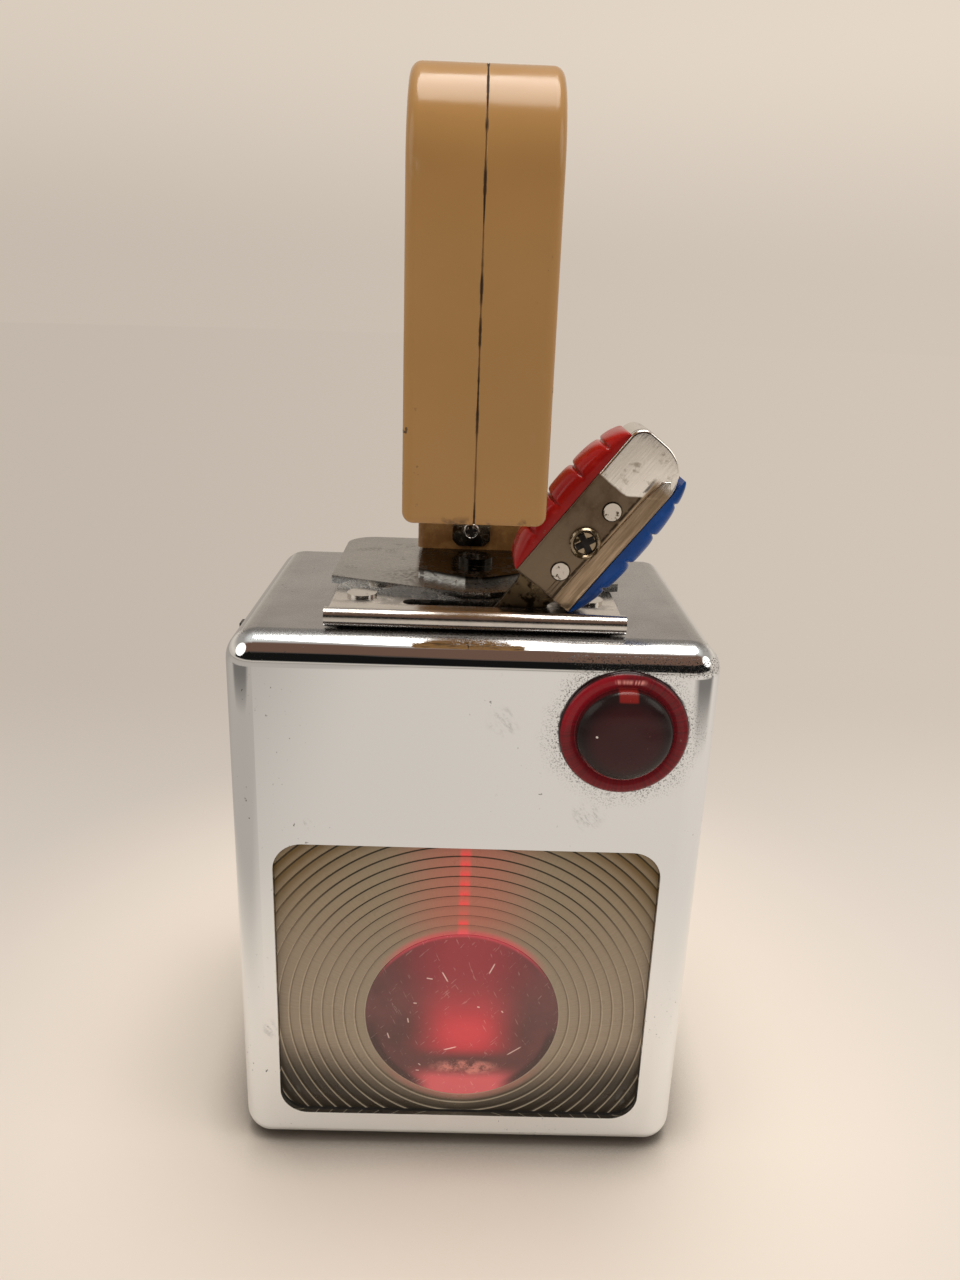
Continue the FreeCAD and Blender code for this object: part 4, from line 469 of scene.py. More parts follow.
def plus_edges(shape, size, bar, depth, turn, centre, place):
    """A near-black plus, a thin solid on the floor of a screw's dish, as painted shade of a recess.
    """
    grid = bmesh.ops.create_grid(shape, x_segments=3, y_segments=3, size=size / 2)
    for vert in grid["verts"]:
        for index in (0, 1):
            if abs(vert.co[index]) < size * 0.4:
                vert.co[index] = math.copysign(bar / 2, vert.co[index])
    corners = [face for vert in grid["verts"] for face in vert.link_faces
               if min(abs(part) for part in face.calc_center_median().xy) > bar / 2]
    bmesh.ops.delete(shape, geom=list(set(corners)), context="FACES")
    verts = [vert for vert in grid["verts"] if vert.is_valid]
    faces = list({face for vert in verts for face in vert.link_faces})
    raised = bmesh.ops.extrude_face_region(shape, geom=faces)
    lifted = [item for item in raised["geom"] if isinstance(item, bmesh.types.BMVert)]
    bmesh.ops.translate(shape, verts=lifted, vec=(0, 0, depth))
    every = list({*verts, *lifted})
    matrix = place @ Matrix.Translation(centre) @ Matrix.Rotation(math.radians(90), 4, "X") \
        @ Matrix.Rotation(turn, 4, "Z")
    bmesh.ops.transform(shape, matrix=matrix, verts=every)
    return {face for vert in every for face in vert.link_faces}


def cross_screw(name, centre, radius, height, reach, place, body, replaced, metal, turn):
    """A screw whose head is a raised ring round a near-black plus, painted recess shade. centre is
    in millimetres.
    """
    x, y, z = centre
    crown = ((0, 0.25), (0.66, 0.25), (0.72, 0.8), (0.80, 1), (0.90, 0.93), (1, 0.6), (1, 0),
             (0.5, 0))
    ring = [(out * radius, y - above * height) for out, above in crown]
    ring += [(0.5 * radius, y + reach), (0, y + reach)]
    shape = turned(ring, (x * MM, z * MM), 40)
    bmesh.ops.transform(shape, matrix=place, verts=shape.verts)
    dark = plus_edges(shape, 1.26 * radius * MM, 0.40 * radius * MM, 0.30 * height * MM, turn,
                      Vector((x, y - 0.22 * height, z)) * MM, place)
    for face in dark:
        face.material_index = 1
    return finish_piece(name, shape, body, replaced, (metal, recess_painted_shade))


LEG_SCREW = (-1.2, 18.2, 151.5)
cross_screw("leg_screw", LEG_SCREW, 2.2, 0.9, 8.0, Matrix(), "housing", ["handle_screw"],
            bright_steel, math.radians(12))

# %% [markdown]
# ## Dark plastics, rubber, cells and glasses
# Most of these hide inside the box or behind the door. They still get real finishes, because the
# door opens and the lever swings the coloured glasses. The red and the blue glass are given a
# little painted glow (emission), brightest along their middle, standing in for the light that the
# polished reflector in front of which they sit sends through them.

# %% The dark plastics and the rubber
black = Finish("black_plastic", Base_Color=colour(34, 33, 32))
black.dull(180, 0.3, 0.5)
black.bump(black.noise(1400, 3), 0.2, 0.0001)
dress(black, "switch_knob", "switch_housing", "cell_shelf", "contact_board")

rubber = Finish("rubber", Base_Color=colour(28, 26, 24))
rubber.dull(220, 0.6, 0.85)
rubber.bump(rubber.noise(1200, 3), 0.25, 0.0001)
dress(rubber, "lens_gasket", "guide_pad", "door_seal")

filler = Finish("lever_filler", Base_Color=colour(58, 48, 38))
filler.dull(220, 0.6, 0.85)
dress(filler, "lever_filler")

cell_skin = Finish("cell_skin", Metallic=0.6)
stripe = cell_skin.axis("Z").between(0.112, 0.1121)
cell_skin.set("Base_Color", cell_skin.mix(stripe, colour(40, 44, 52), colour(184, 150, 84)))
cell_skin.dull(90, 0.25, 0.4)
dress(cell_skin, "cell_1", "cell_2", "cell_3")

# %% The glasses behind the lens
CARRIER_PIVOT = Vector((0, 0, 100.4)) * MM
FILTERS = {"red_filter": ((0, 0, 0.0395), (0.90, 0.035, 0.055)),
           "blue_filter": ((0.03707, 0, 0.05208), (0.03, 0.12, 0.85))}

for name, (middle, hue) in FILTERS.items():
    arm = (Vector(middle) - CARRIER_PIVOT).normalized()
    across = Vector((-arm.z, 0, arm.x))
    glass = Finish(name.replace("filter", "glass"), Roughness=0.12,
                   Base_Color=tuple(0.5 * part for part in hue))
    aside = abs(glass.along(tuple(across), middle))
    # Painted light: an emission brightest along the middle of each glass.
    bright = (aside + glass.noise(90, 3) * 0.004).between(0.0015, 0.0115, 1.0, 0.1)
    glass.set("Emission_Color", glass.mix(bright, tuple(0.3 * part for part in hue), hue))
    glass.set("Emission_Strength", bright.between(0, 1, 0.1, 0.95))
    dress(glass, name)

bulb = Finish("bulb_glass", Base_Color=(0.95, 0.95, 0.93), Transmission_Weight=0.9, IOR=1.45)
bulb.dull(200, 0.02, 0.1)
dress(bulb, "main_bulb", "marker_bulb")

# %% [markdown]
# ## The stepped lens
# The window holds a pressed glass: a round bull's eye in the middle and a staircase of rings
# round it, each a slice of a much thicker lens. A flat plate with painted circles would look dead,
# so one slice of the staircase is drawn as a profile and spun about the optic axis. The spun disc
# is then cut to the rectangle of the window with four planes and given its back.
#
# The rings scatter the room's light into a warm grey, and their finish adds a little painted light
# of its own (emission), because the dark box behind them gives none. Their steps are painted: dark
# lines above the middle, where they face down, and light lines below and beside it. The light of
# the red glass is painted too, as a rosy glow upwards, a pink halo and rim round the eye and a
# bright streak on the ring crests. The upper half is painted darker and browner towards its
# corners, as painted reflection of the box inside, and the foot of the lens is painted shade.

# %% Spin the rings
OPTIC = (0.0, 39.5 * MM)
EYE_RADIUS = 24.3
RING_PITCH = 2.75
RING_COUNT = 17
LENS_FRONT, LENS_VALLEY, LENS_BACK = -40.0, -39.55, -38.4
LENS_BOX = {"x": 47.5, "low": 8.5, "high": 90.5}

profile = [(EYE_RADIUS, LENS_BACK), (EYE_RADIUS, LENS_VALLEY)]
for number in range(RING_COUNT):
    inner = EYE_RADIUS + number * RING_PITCH
    for share, drop in ((0.05, 0.0), (0.35, 0.18), (0.70, 0.52), (0.97, 1.0)):
        profile.append((inner + share * RING_PITCH, LENS_FRONT + drop * (LENS_VALLEY - LENS_FRONT)))
rings = turned(profile, OPTIC, 144)
for point, normal in (((LENS_BOX["x"], 0, 0), (1, 0, 0)), ((-LENS_BOX["x"], 0, 0), (-1, 0, 0)),
                      ((0, 0, LENS_BOX["low"]), (0, 0, -1)), ((0, 0, LENS_BOX["high"]), (0, 0, 1))):
    everything = rings.verts[:] + rings.edges[:] + rings.faces[:]
    bmesh.ops.bisect_plane(rings, geom=everything, dist=0.001 * MM, plane_co=Vector(point) * MM,
                           plane_no=normal, clear_outer=True)
border = [edge for edge in rings.edges
          if edge.is_boundary and edge.verts[0].co.y < (LENS_BACK - 0.01) * MM]
walls = bmesh.ops.extrude_edge_only(rings, edges=border)
for item in walls["geom"]:
    if isinstance(item, bmesh.types.BMVert):
        item.co.y = LENS_BACK * MM
rim = [edge for edge in rings.edges if edge.is_boundary]
bmesh.ops.triangle_fill(rings, use_beauty=True, edges=rim)
print("lens faces", len(rings.faces), "open edges", sum(edge.is_boundary for edge in rings.edges))

# %% The finish of the rings, with its painted light and shade
ring_glass = Finish("ring_glass", IOR=1.5, Specular_IOR_Level=0.3)
side = ring_glass.axis("X")
beside = abs(side)
rise = ring_glass.axis("Z") - OPTIC[1]
out = ring_glass.far_from((OPTIC[0], 0, OPTIC[1]))
upness = rise / out
step = (out - EYE_RADIUS * MM) / (RING_PITCH * MM)
phase = ring_glass.maths("FRACT", step)
spokes = ring_glass.node("CombineXYZ", 0, {0: ring_glass.maths("ARCTAN2", rise, side) * 40.0,
                                           1: ring_glass.maths("FLOOR", step) * 7.0})
ridges = ring_glass.noise(2.0, 4, 0.7, spokes)

shade = ring_glass.mix(ridges.between(0.25, 0.75), colour(151, 136, 118), colour(137, 122, 104))
# Painted reflection: the upper half darker, and browner towards its corners.
above = rise.between(0.0, 0.04)
shade = shade.towards(colour(134, 117, 92), above * 0.6)
corner = out.between(0.046, 0.062) * above
shade = shade.towards(colour(104, 82, 48), corner * phase.between(0.1, 0.75, 0.35, 1.0))
# Painted shade: the foot of the lens darkens towards the bottom.
low = rise - beside * 0.3
low = low - ring_glass.noise(24, 3) * 0.006
shade = shade.towards(colour(52, 46, 38), low.between(-0.02, -0.037))
# Painted light from the red glass: a rosy glow above the eye and a halo below it.
rosy = beside.between(0.021, 0.001) * rise.between(0.016, 0.03)
shade = shade.towards(colour(188, 92, 80), rosy * 0.55)
halo = out.between(0.0272, 0.0243) * rise.between(-0.012, -0.022)
shade = shade.towards(colour(170, 116, 104), halo * 0.75)
# Painted shade and highlight of the steps: dark lines above the middle, pale lines below and beside
# it.
sharp = upness.between(0.35, 0.85)
line_start = ring_glass.blend(out.between(0.026, 0.05), 0.94, 0.84)
dark_line = phase.between(line_start - 0.03, line_start) * sharp
shade = shade.towards(colour(38, 36, 25), dark_line * 0.92)
edge_line = phase.band(0.9, 0.97, 0.03) * upness.between(0.75, 0.2) * 0.45
shade = shade.towards(colour(84, 72, 58), edge_line)
pale_line = phase.band(0.01, 0.09, 0.03) * upness.between(0.7, 0.1)
shade = shade.towards(colour(190, 176, 152), pale_line * 0.5)
# Painted light: a red streak on the ring crests above the eye and a pink rim round it.
streak = abs(side + 0.0004).between(0.0018, 0.0007)
streak = (streak * rise.between(0.005, 0.01) * phase.between(0.1, 0.8, 1.0, 0.3) *
          step.band(1.5, 3.0, 0.4).between(0, 1, 1.0, 0.45))
shade = shade.towards(colour(218, 64, 66), streak * 0.85)
blush = out.between(0.0262, 0.0246) * upness.between(0.5, 0.95)
shade = shade.towards(colour(206, 84, 92), blush * 0.75)
ring_glass.set("Base_Color", shade)
ring_glass.set("Roughness", ring_glass.noise(140, 4).between(0.3, 0.7, 0.25, 0.42))
# Painted light of its own: an emission of the same colour, stronger on the streak.
ring_glass.set("Emission_Color", shade)
ring_glass.set("Emission_Strength", streak * 0.25 + 0.27)
ring_glass.bump(ridges, 0.05, 0.0002)
finish_piece("stepped_rings", rings, "housing", ["fresnel_lens"], [ring_glass])

# %% [markdown]
# ## The bull's eye
# The round middle is thick and bulges. Clear glass would show little here: from the camera's height
# one looks past the red filter into the dark box. The real eye is scratched and hazy, and its haze
# catches the red light like a screen. So the red light is painted into the colour of the eye: a
# painted red glow, brightest in a column with painted dark sides, a painted dark crescent at the
# lower edge and a painted highlight on the top rim, with a little painted light of its own
# (emission) under a clear, glossy surface. The paint stays red when the lever brings the blue
# glass in.

# %% Spin the bull's eye
EYE_BULGE = 2.6
EYE_BACK_BULGE = 3.4
EYE_STEPS = 14

front = []
for number in range(EYE_STEPS + 1):
    share = math.sin(0.5 * math.pi * number / EYE_STEPS)
    front.append((share * EYE_RADIUS, LENS_FRONT - EYE_BULGE * (1 - share ** 2)))
back = [(radius, LENS_BACK + EYE_BACK_BULGE * (1 - (radius / EYE_RADIUS) ** 2))
        for radius, _ in reversed(front)]
eye = turned(front + back, OPTIC, 96)

# %% The painted glow and shade, and the scratches, of the bull's eye
# across, up and half length in millimetres, and the turn
SCRATCHES = [(-4.5, 13.2, 1.7, 1.05), (7.0, 15.6, 1.7, -1.1), (-8.3, 12.5, 0.9, 0.1),
             (-2.8, -7.9, 1.9, -0.35), (-11.8, 5.3, 0.5, 0.0), (-10.5, -14.0, 0.45, 0.8),
             (-11.0, -16.2, 0.5, 0.0), (-13.5, 0.0, 0.8, 1.4), (13.5, -9.0, 2.4, -0.6),
             (-18.5, -5.5, 1.0, 1.3), (4.0, 5.0, 0.4, 0.3), (10.0, 3.5, 0.4, 0.9)]

eye_glass = Finish("eye_glass", IOR=1.5, Specular_IOR_Level=0.5, Coat_Weight=0.5,
                   Coat_Roughness=0.03)
side = eye_glass.axis("X")
beside = abs(side - 0.0008)
rise = eye_glass.axis("Z") - OPTIC[1]
out = eye_glass.far_from((OPTIC[0], 0, OPTIC[1]))
cloud = eye_glass.noise(90, 5, 0.65).between(0.3, 0.7)
tone = eye_glass.mix(cloud, colour(100, 54, 54), colour(82, 46, 45))
# Painted light from the red glass: a glow at the top, a column, a bright core and a glowing foot.
# The darker base round them is the painted dark sides.
top_glow = rise.between(0.0, 0.016) * beside.between(0.024, 0.004) * 0.75
tone = tone.towards(colour(138, 40, 49), top_glow)
column = (beside.between(0.0165, 0.003) * rise.between(0.014, 0.0, 0.3, 1.0) *
          rise.between(-0.012, -0.007))
tone = tone.towards(colour(166, 46, 54), column)
core = eye_glass.far_from((0.0012, 0, OPTIC[1] - 0.003), (0.7, 0, 1)).between(0.0075, 0.001)
tone = tone.towards(colour(204, 60, 66), core * 0.5)
foot = rise.between(-0.0135, -0.019) * beside.between(0.0165, 0.007)
tone = tone.towards(colour(192, 82, 86), foot)
# A patch of real haze, painted pink as if lit by the red glass.
hazy = eye_glass.far_from((0.001, 0, OPTIC[1] - 0.0143), (0.3, 0, 1)).between(0.0032, 0.0014)
hazy = hazy * eye_glass.spots(330, 0.38, 0.62, detail=5, rough=0.75)
tone = tone.towards(colour(214, 132, 120), hazy * 0.8)
# Painted shade: a dark crescent at the lower edges. Painted highlight: a pink line on the top rim.
crescent = out.between(0.0212, 0.0232) * rise.between(0.0, -0.008) * beside.between(0.008, 0.014)
tone = tone.towards(colour(52, 30, 28), crescent * 0.8)
rim = out.between(0.0234, 0.0241) * rise.between(0.01, 0.021)
tone = tone.towards(colour(206, 70, 84), rim * 0.6)
hairs = eye_glass.spots(420, 0.66, 0.72, detail=3, rough=0.5,
                        where=eye_glass.stretch((5.0, 1, 0.7), (0, 0.45, 0)))
hairs = highest(hairs, eye_glass.spots(460, 0.66, 0.72, detail=3, rough=0.5,
                                       where=eye_glass.stretch((0.7, 1, 5.0), (0, 0.8, 0))))
scratched = hairs * 0.14
for x, z, length, turn in SCRATCHES:
    point = (x * MM, 0, OPTIC[1] + z * MM)
    length_way = (math.cos(turn), 0, -math.sin(turn))
    width_way = (math.sin(turn), 0, math.cos(turn))
    reach = abs(eye_glass.along(length_way, point))
    width = abs(eye_glass.along(width_way, point))
    line = reach.between(length * MM, 0.6 * length * MM) * width.between(0.00022, 0.00008) * 0.65
    scratched = highest(scratched, line)
tone = tone.towards(colour(236, 206, 196), scratched)
eye_glass.set("Base_Color", tone)
eye_glass.set("Roughness", scratched.between(0.0, 0.4, 0.1, 0.4))
# Painted light of its own: emission of the same colour, strongest in the column and the foot.
eye_glass.set("Emission_Color", tone)
eye_glass.set("Emission_Strength", highest(column, foot).between(0, 1, 0.25, 0.5))
finish_piece("bulls_eye", eye, "housing", ["fresnel_lens"], [eye_glass])

# %% [markdown]
# ## The small red lens
# The marker is a turned shape too: a flange with a rounded rim, a fine groove and a dome. The
# dome is painted nearly black with a dim red middle, as painted shade for the unlit box behind
# it, while the flange, which lies on chrome, gets a little painted glow (emission) for the light it
# lets back out. One material does both, by the distance from the axis. It also paints light: a
# brighter red upper left, a red glow at the foot of the dome, a red reflection block and a glint
# at its top, and a small white highlight dot.

# %% Turn the marker lens
MARKER_AXIS = (34.1 * MM, 120.0 * MM)
marker_profile = [(0, -48.0)]
for number in range(1, 13):
    share = math.sin(0.5 * math.pi * number / 12)
    marker_profile.append((11.0 * share, -44.0 - 4.0 * math.sqrt(max(0.0, 1 - share ** 2))))
marker_profile[-1] = (11.0, -43.3)
marker_profile += [(11.25, -43.15), (11.5, -43.4), (12.2, -43.85), (13.2, -44.0), (14.0, -43.8),
                   (14.5, -43.3), (14.7, -42.6), (14.7, -42.0), (11.7, -42.0), (11.7, -37.6),
                   (6.0, -37.6), (6.0, -42.5), (0, -42.5)]
marker = turned(marker_profile, MARKER_AXIS, 96)

marker_red = Finish("marker_red", IOR=1.5, Specular_IOR_Level=0.22)
away = marker_red.far_from((MARKER_AXIS[0], 0, MARKER_AXIS[1]))
above = marker_red.axis("Z") - MARKER_AXIS[1]
aside = marker_red.axis("X") - MARKER_AXIS[0]
rays = marker_red.node("CombineXYZ", 0, {0: marker_red.maths("ARCTAN2", above, aside) * 9.0})
rays = marker_red.noise(2.2, 3, 0.6, rays).between(0.35, 0.65)
flange_red = marker_red.mix(rays, colour(108, 24, 30), colour(84, 24, 28))
# Painted light: the upper left of the flange a brighter red.
upper_left = (above - aside).between(0.012, 0.017)
flange_red = flange_red.towards(colour(138, 20, 32), upper_left * 0.6)
# Painted shade: the dome nearly black, with a dim red middle.
dome_red = marker_red.mix(away.between(0.006, 0.0105), colour(60, 31, 33), colour(32, 25, 25))
on_flange = away.between(0.0107, 0.0113)
tone = dome_red.towards(flange_red, on_flange)
# Painted light: a red glow at the foot of the dome, a red reflection block and a glint at its top.
foot_glow = away.band(0.0101, 0.0108, 0.0003) * above.between(-0.003, -0.009)
tone = tone.towards(colour(110, 20, 24), foot_glow)
block = abs(aside).between(0.0024, 0.0018) * above.band(0.0088, 0.0112, 0.0003)
tone = tone.towards(colour(124, 34, 32), block)
glint = abs(aside - 0.0005).between(0.004, 0.0025) * above.band(0.0122, 0.0131, 0.0004) * rays
tone = tone.towards(colour(216, 140, 132), glint)
tone = tone.towards(colour(30, 10, 11), away.between(0.0142, 0.0146))
specks = marker_red.spots(1100, 0.68, 0.72) * aside.between(0.0, 0.006)
# Painted highlight: a small white dot on the dome.
dot = marker_red.far_from((MARKER_AXIS[0] - 0.0066, 0, MARKER_AXIS[1] + 0.0008),
                          (1, 0, 1)).between(0.00034, 0.00018)
tone = tone.towards(colour(120, 88, 84), specks * 0.5)
marker_red.set("Base_Color", tone.towards(colour(236, 226, 220), dot))
# Painted light of its own: a little emission, mostly on the flange.
marker_red.set("Emission_Color", tone)
marker_red.set("Emission_Strength", on_flange.between(0, 1, 0.05, 0.3))
marker_red.set("Roughness", marker_red.noise(150, 4).between(0.35, 0.7, 0.12, 0.28))
marker_red.bump(rays, 0.06, 0.0002)
finish_piece("marker_dome", marker, "housing", ["marker_lens"], [marker_red])

# %% [markdown]
# ## The head of the lever
# The lever leans 37.5 degrees to the right. Its head is easier to draw upright, with its own
# across and along, and then to lean over with one matrix about the pivot. The finish does the same
# in reverse: it measures across and along the lever by two dot products, so that the marks lie
# along the metal and not along the room.

# %% The lever's own directions
PIVOT = Vector((0, 0, 128.3)) * MM
TILT = math.radians(37.5)
LEAN = Matrix.Translation(PIVOT) @ Matrix.Rotation(TILT, 4, "Y")
ACROSS = (math.cos(TILT), 0, -math.sin(TILT))
ALONG = (math.sin(TILT), 0, math.cos(TILT))
RIVETS = {31.3: 2.0, 49.0: 2.0}

# %% [markdown]
# The channel is bent from sheet. Its front shows two layers at the rounded top, a folded strip
# along the blue side and a hollow back. It starts as one rectangle: its top corners are bevelled,
# it is extruded to its depth, a groove is set into its sides between two cuts, and the back is
# hollowed with a deep inset. The strip is a second plate laid on the front.

# %% Shape the channel
HEAD_LOW, HEAD_HIGH, HEAD_HALF = 25.1, 67.7, 8.0
HEAD_FRONT, HEAD_BACK = -27.7, -13.0
GROOVE = (-26.2, -25.7)
CORNER_RADII = (8.4, 3.6)
SHEET, SHEET_EDGE = 0.7, 1.0


def bevel(shape, geom, offset, segments, affect="EDGES"):
    bmesh.ops.bevel(shape, geom=geom, offset=offset * MM, offset_type="OFFSET", segments=segments,
                    profile=0.5, affect=affect, material=-1)


def lift(shape, faces, depth):
    """Extrude faces front to back, by millimetres, and give the new points."""
    made = bmesh.ops.extrude_face_region(shape, geom=faces)
    points = [item for item in made["geom"] if isinstance(item, bmesh.types.BMVert)]
    bmesh.ops.translate(shape, verts=points, vec=(0, depth * MM, 0))
    return points


def rear_faces(shape):
    return [face for face in shape.faces
            if face.normal.y > 0.9 and face.calc_center_median().y > (HEAD_BACK - 0.1) * MM]


def between_faces(shape, low, high):
    return [face for face in shape.faces
            if low * MM < face.calc_center_median().y < high * MM and abs(face.normal.y) < 0.5]


channel = bmesh.new()
corners = [channel.verts.new(Vector(spot) * MM) for spot in
           ((-HEAD_HALF, HEAD_FRONT, HEAD_LOW), (HEAD_HALF, HEAD_FRONT, HEAD_LOW),
            (HEAD_HALF, HEAD_FRONT, HEAD_HIGH), (-HEAD_HALF, HEAD_FRONT, HEAD_HIGH))]
face = channel.faces.new(corners)
for corner, radius in zip(corners[2:], CORNER_RADII):
    bevel(channel, [corner], radius, 10, "VERTICES")
lift(channel, channel.faces[:], HEAD_BACK - HEAD_FRONT)
bmesh.ops.recalc_face_normals(channel, faces=channel.faces)
front_rim = [edge for edge in channel.edges
             if all(abs(vert.co.y - HEAD_FRONT * MM) < 1e-6 for vert in edge.verts)]
bevel(channel, front_rim, 0.7, 4)
for depth in GROOVE:
    everything = channel.verts[:] + channel.edges[:] + channel.faces[:]
    bmesh.ops.bisect_plane(channel, geom=everything, dist=0.001 * MM, plane_co=(0, depth * MM, 0),
                           plane_no=(0, 1, 0))
bmesh.ops.inset_region(channel, faces=between_faces(channel, *GROOVE), thickness=0.08 * MM,
                       depth=-0.4 * MM, use_even_offset=True, use_boundary=True)
bmesh.ops.inset_region(channel, faces=rear_faces(channel), thickness=SHEET_EDGE * MM,
                       use_even_offset=True)
middle_face = max(rear_faces(channel), key=lambda face: face.calc_area())
lift(channel, [middle_face], -(HEAD_BACK - HEAD_FRONT - SHEET))
print("lever head faces", len(channel.faces), "open edges",
      sum(edge.is_boundary for edge in channel.edges))

# %% Lay the folded strip on its front
STRIP = ((3.2, 25.1), (7.6, 25.1), (7.6, 59.8), (5.6, 62.4), (4.2, 61.0), (3.6, 56.0))
strip = channel.faces.new([channel.verts.new(Vector((across, HEAD_FRONT + 0.05, reach)) * MM)
                           for across, reach in STRIP])
strip_top = lift(channel, [strip], -0.40)
strip_edges = {edge for vert in strip_top for edge in vert.link_edges
               if all(end in strip_top for end in edge.verts)}
bevel(channel, list(strip_edges), 0.28, 3)

# %% Three folded ridges at its foot
for number in range(3):
    made = bmesh.ops.create_cube(channel, size=1.0)
    size = Vector((0.42, 0.5, 9.0 - 1.6 * number)) * MM
    place = Vector((2.55 - 0.85 * number, HEAD_FRONT + 0.02, 29.7 - 0.8 * number)) * MM
    bmesh.ops.scale(channel, verts=made["verts"], vec=size)
    bmesh.ops.translate(channel, verts=made["verts"], vec=place)
    bevel(channel, list({edge for vert in made["verts"] for edge in vert.link_edges}), 0.16, 2)
bmesh.ops.transform(channel, matrix=LEAN, verts=channel.verts)

# %% [markdown]
# The metal has three looks: bright chrome on the upper third, dull olive-brown where the chrome has
# gone, and a tan, brushed strip. The border between bright and dull is nearly a straight line, as
# on the real head, because a layer of sheet ends there. Dark rings mark the flush rivets.

# %% The finish of the lever
metal = Finish("lever_metal", Metallic=1.0)
across = metal.along(ACROSS, tuple(PIVOT))
reach = metal.along(ALONG, tuple(PIVOT))
depth = metal.axis("Y")
lever_space = metal.node("CombineXYZ", 0, {0: across, 1: depth, 2: reach})
drawn_out = metal.node("Mapping", inputs={"Vector": lever_space, "Scale": (1500, 800, 90)})
brushed = metal.noise(1.0, 5, 0.65, drawn_out)
blotch = metal.noise(230, 5, 0.65)
border = 0.0535 + highest(across, 0.0) * 0.7
border = border + (blotch - 0.5) * 0.0012
is_bright = (reach - border).between(-0.0002, 0.0004)
on_strip = (across.between(0.0027, 0.0033) * reach.between(0.0615, 0.059) *
            depth.between(-0.026, -0.0272))
on_side = depth.between(-0.0268, -0.0255)

dull = metal.mix(blotch.between(0.3, 0.7), (0.125, 0.086, 0.055), (0.25, 0.19, 0.13))
dull = dull.towards((0.33, 0.26, 0.18), reach.between(0.047, 0.03) * 0.5)
bright = metal.mix(metal.spots(300, 0.58, 0.70), (0.90, 0.87, 0.82), (0.50, 0.46, 0.40))
tan = metal.mix(brushed.between(0.35, 0.65), (0.5, 0.38, 0.26), (0.33, 0.24, 0.155))
shade = dull.towards(bright, is_bright)
shade = shade.towards(tan, on_strip)
shade = shade.towards((0.1, 0.085, 0.07), on_side * 0.35)
lines = across.band(0.0024, 0.003, 0.0002) * metal.spots(500, 0.35, 0.5)
lines = lines * reach.between(0.062, 0.058) * 0.7
for height, radius in RIVETS.items():
    away = metal.far_from((0, 0, height * MM), where=lever_space)
    halo = away.band((radius - 0.1) * MM, (radius + 0.3) * MM, 0.12 * MM)
    lines = highest(lines, halo * metal.spots(700, 0.3, 0.5) * 0.85)
shade = shade.towards((0.022, 0.016, 0.011), lines)
metal.set("Base_Color", shade)
rough = metal.blend(is_bright, blotch.between(0.3, 0.7, 0.38, 0.55), 0.17)
rough = metal.blend(on_strip, rough, brushed.between(0.3, 0.7, 0.26, 0.48))
metal.set("Roughness", metal.blend(lines, rough, 0.75))
metal.bump(brushed + is_bright * 0.6, 0.22, 0.0002)
finish_piece("lever_head", channel, "lever", ["lever_channel"], [metal])
dress(metal, "lever_back_cover")

neck = chrome("neck_metal", 0.42, 0.45, 1.0, (0.13, 0.095, 0.055), (0.1, 0.08, 0.05))
stain(neck, neck.spots(420, 0.50, 0.62), colour(44, 34, 22), 0.75)
neck.bump(neck.noise(700, 4), 0.3, 0.0002)
dress(neck, "lever_plate")

rivet_metal = chrome("rivet_metal", 0.22, 0.3, 1.0, (0.62, 0.58, 0.52), (0.6, 0.6, 0.6))
stain(rivet_metal, rivet_metal.spots(900, 0.55, 0.66), colour(96, 82, 62))
dress(rivet_metal, "lever_rivet_low", "lever_rivet_high")

# %% [markdown]
# The screw in the head is a hollow sleeve: a raised, rounded ring round a near-black plus that is
# painted shade for a deep cross recess. It is the same kind of piece as the screw in the handle's
# leg, so it comes from the same helper.

# %% The screw of the lever
sleeve = chrome("sleeve_metal", 0.30, 0.3, 1.0, (0.36, 0.29, 0.20), (0.4, 0.3, 0.2))
stain(sleeve, sleeve.spots(600, 0.50, 0.62), colour(70, 58, 38), 0.6)
cross_screw("sleeve_screw", (0.0, -27.75, 39.8), 3.6, 1.25, 14.5, LEAN, "lever", ["lever_screw"],
            sleeve, math.radians(-24))

# %% [markdown]
# ## The two grips
# A finger tells red from blue by touch, so both grips carry the same five lumps. A grip is a
# half-round bow: thin at its ends, thickest in the middle. It is made from a flat grid that is
# bent into that form, point by point, with a sharp step between lumps, and then closed at the
# back by extruding its border onto the side of the channel.

# %% Shape a grip
GRIP_LOW, GRIP_HIGH, GRIP_THICK = 25.3, 64.4, 5.0
GRIP_MIDDLE, GRIP_HALF_DEPTH = -20.0, 7.4
LUMP_FIRST, LUMP_PITCH = 8.6, 8.3
NOTCH_DEPTH, NOTCH_WIDTH = 0.17, 0.040


def bow(share):
    """Thickness of the grip along its length, as a share of its middle."""
    return 0.14 + 0.86 * (1 - abs(2 * share - 1) ** 2.5) ** 0.62


def lump(height):
    """The steps across the grip: a slow swell, then a quick drop into the next notch."""
    place = ((height - GRIP_LOW - LUMP_FIRST) / LUMP_PITCH) % 1.0
    swell = 1.0 - 0.10 * (2 * place - 1) ** 4
    return swell - sum(NOTCH_DEPTH * math.exp(-((place - middle) / NOTCH_WIDTH) ** 2)
                       for middle in (0.03, 1.03))


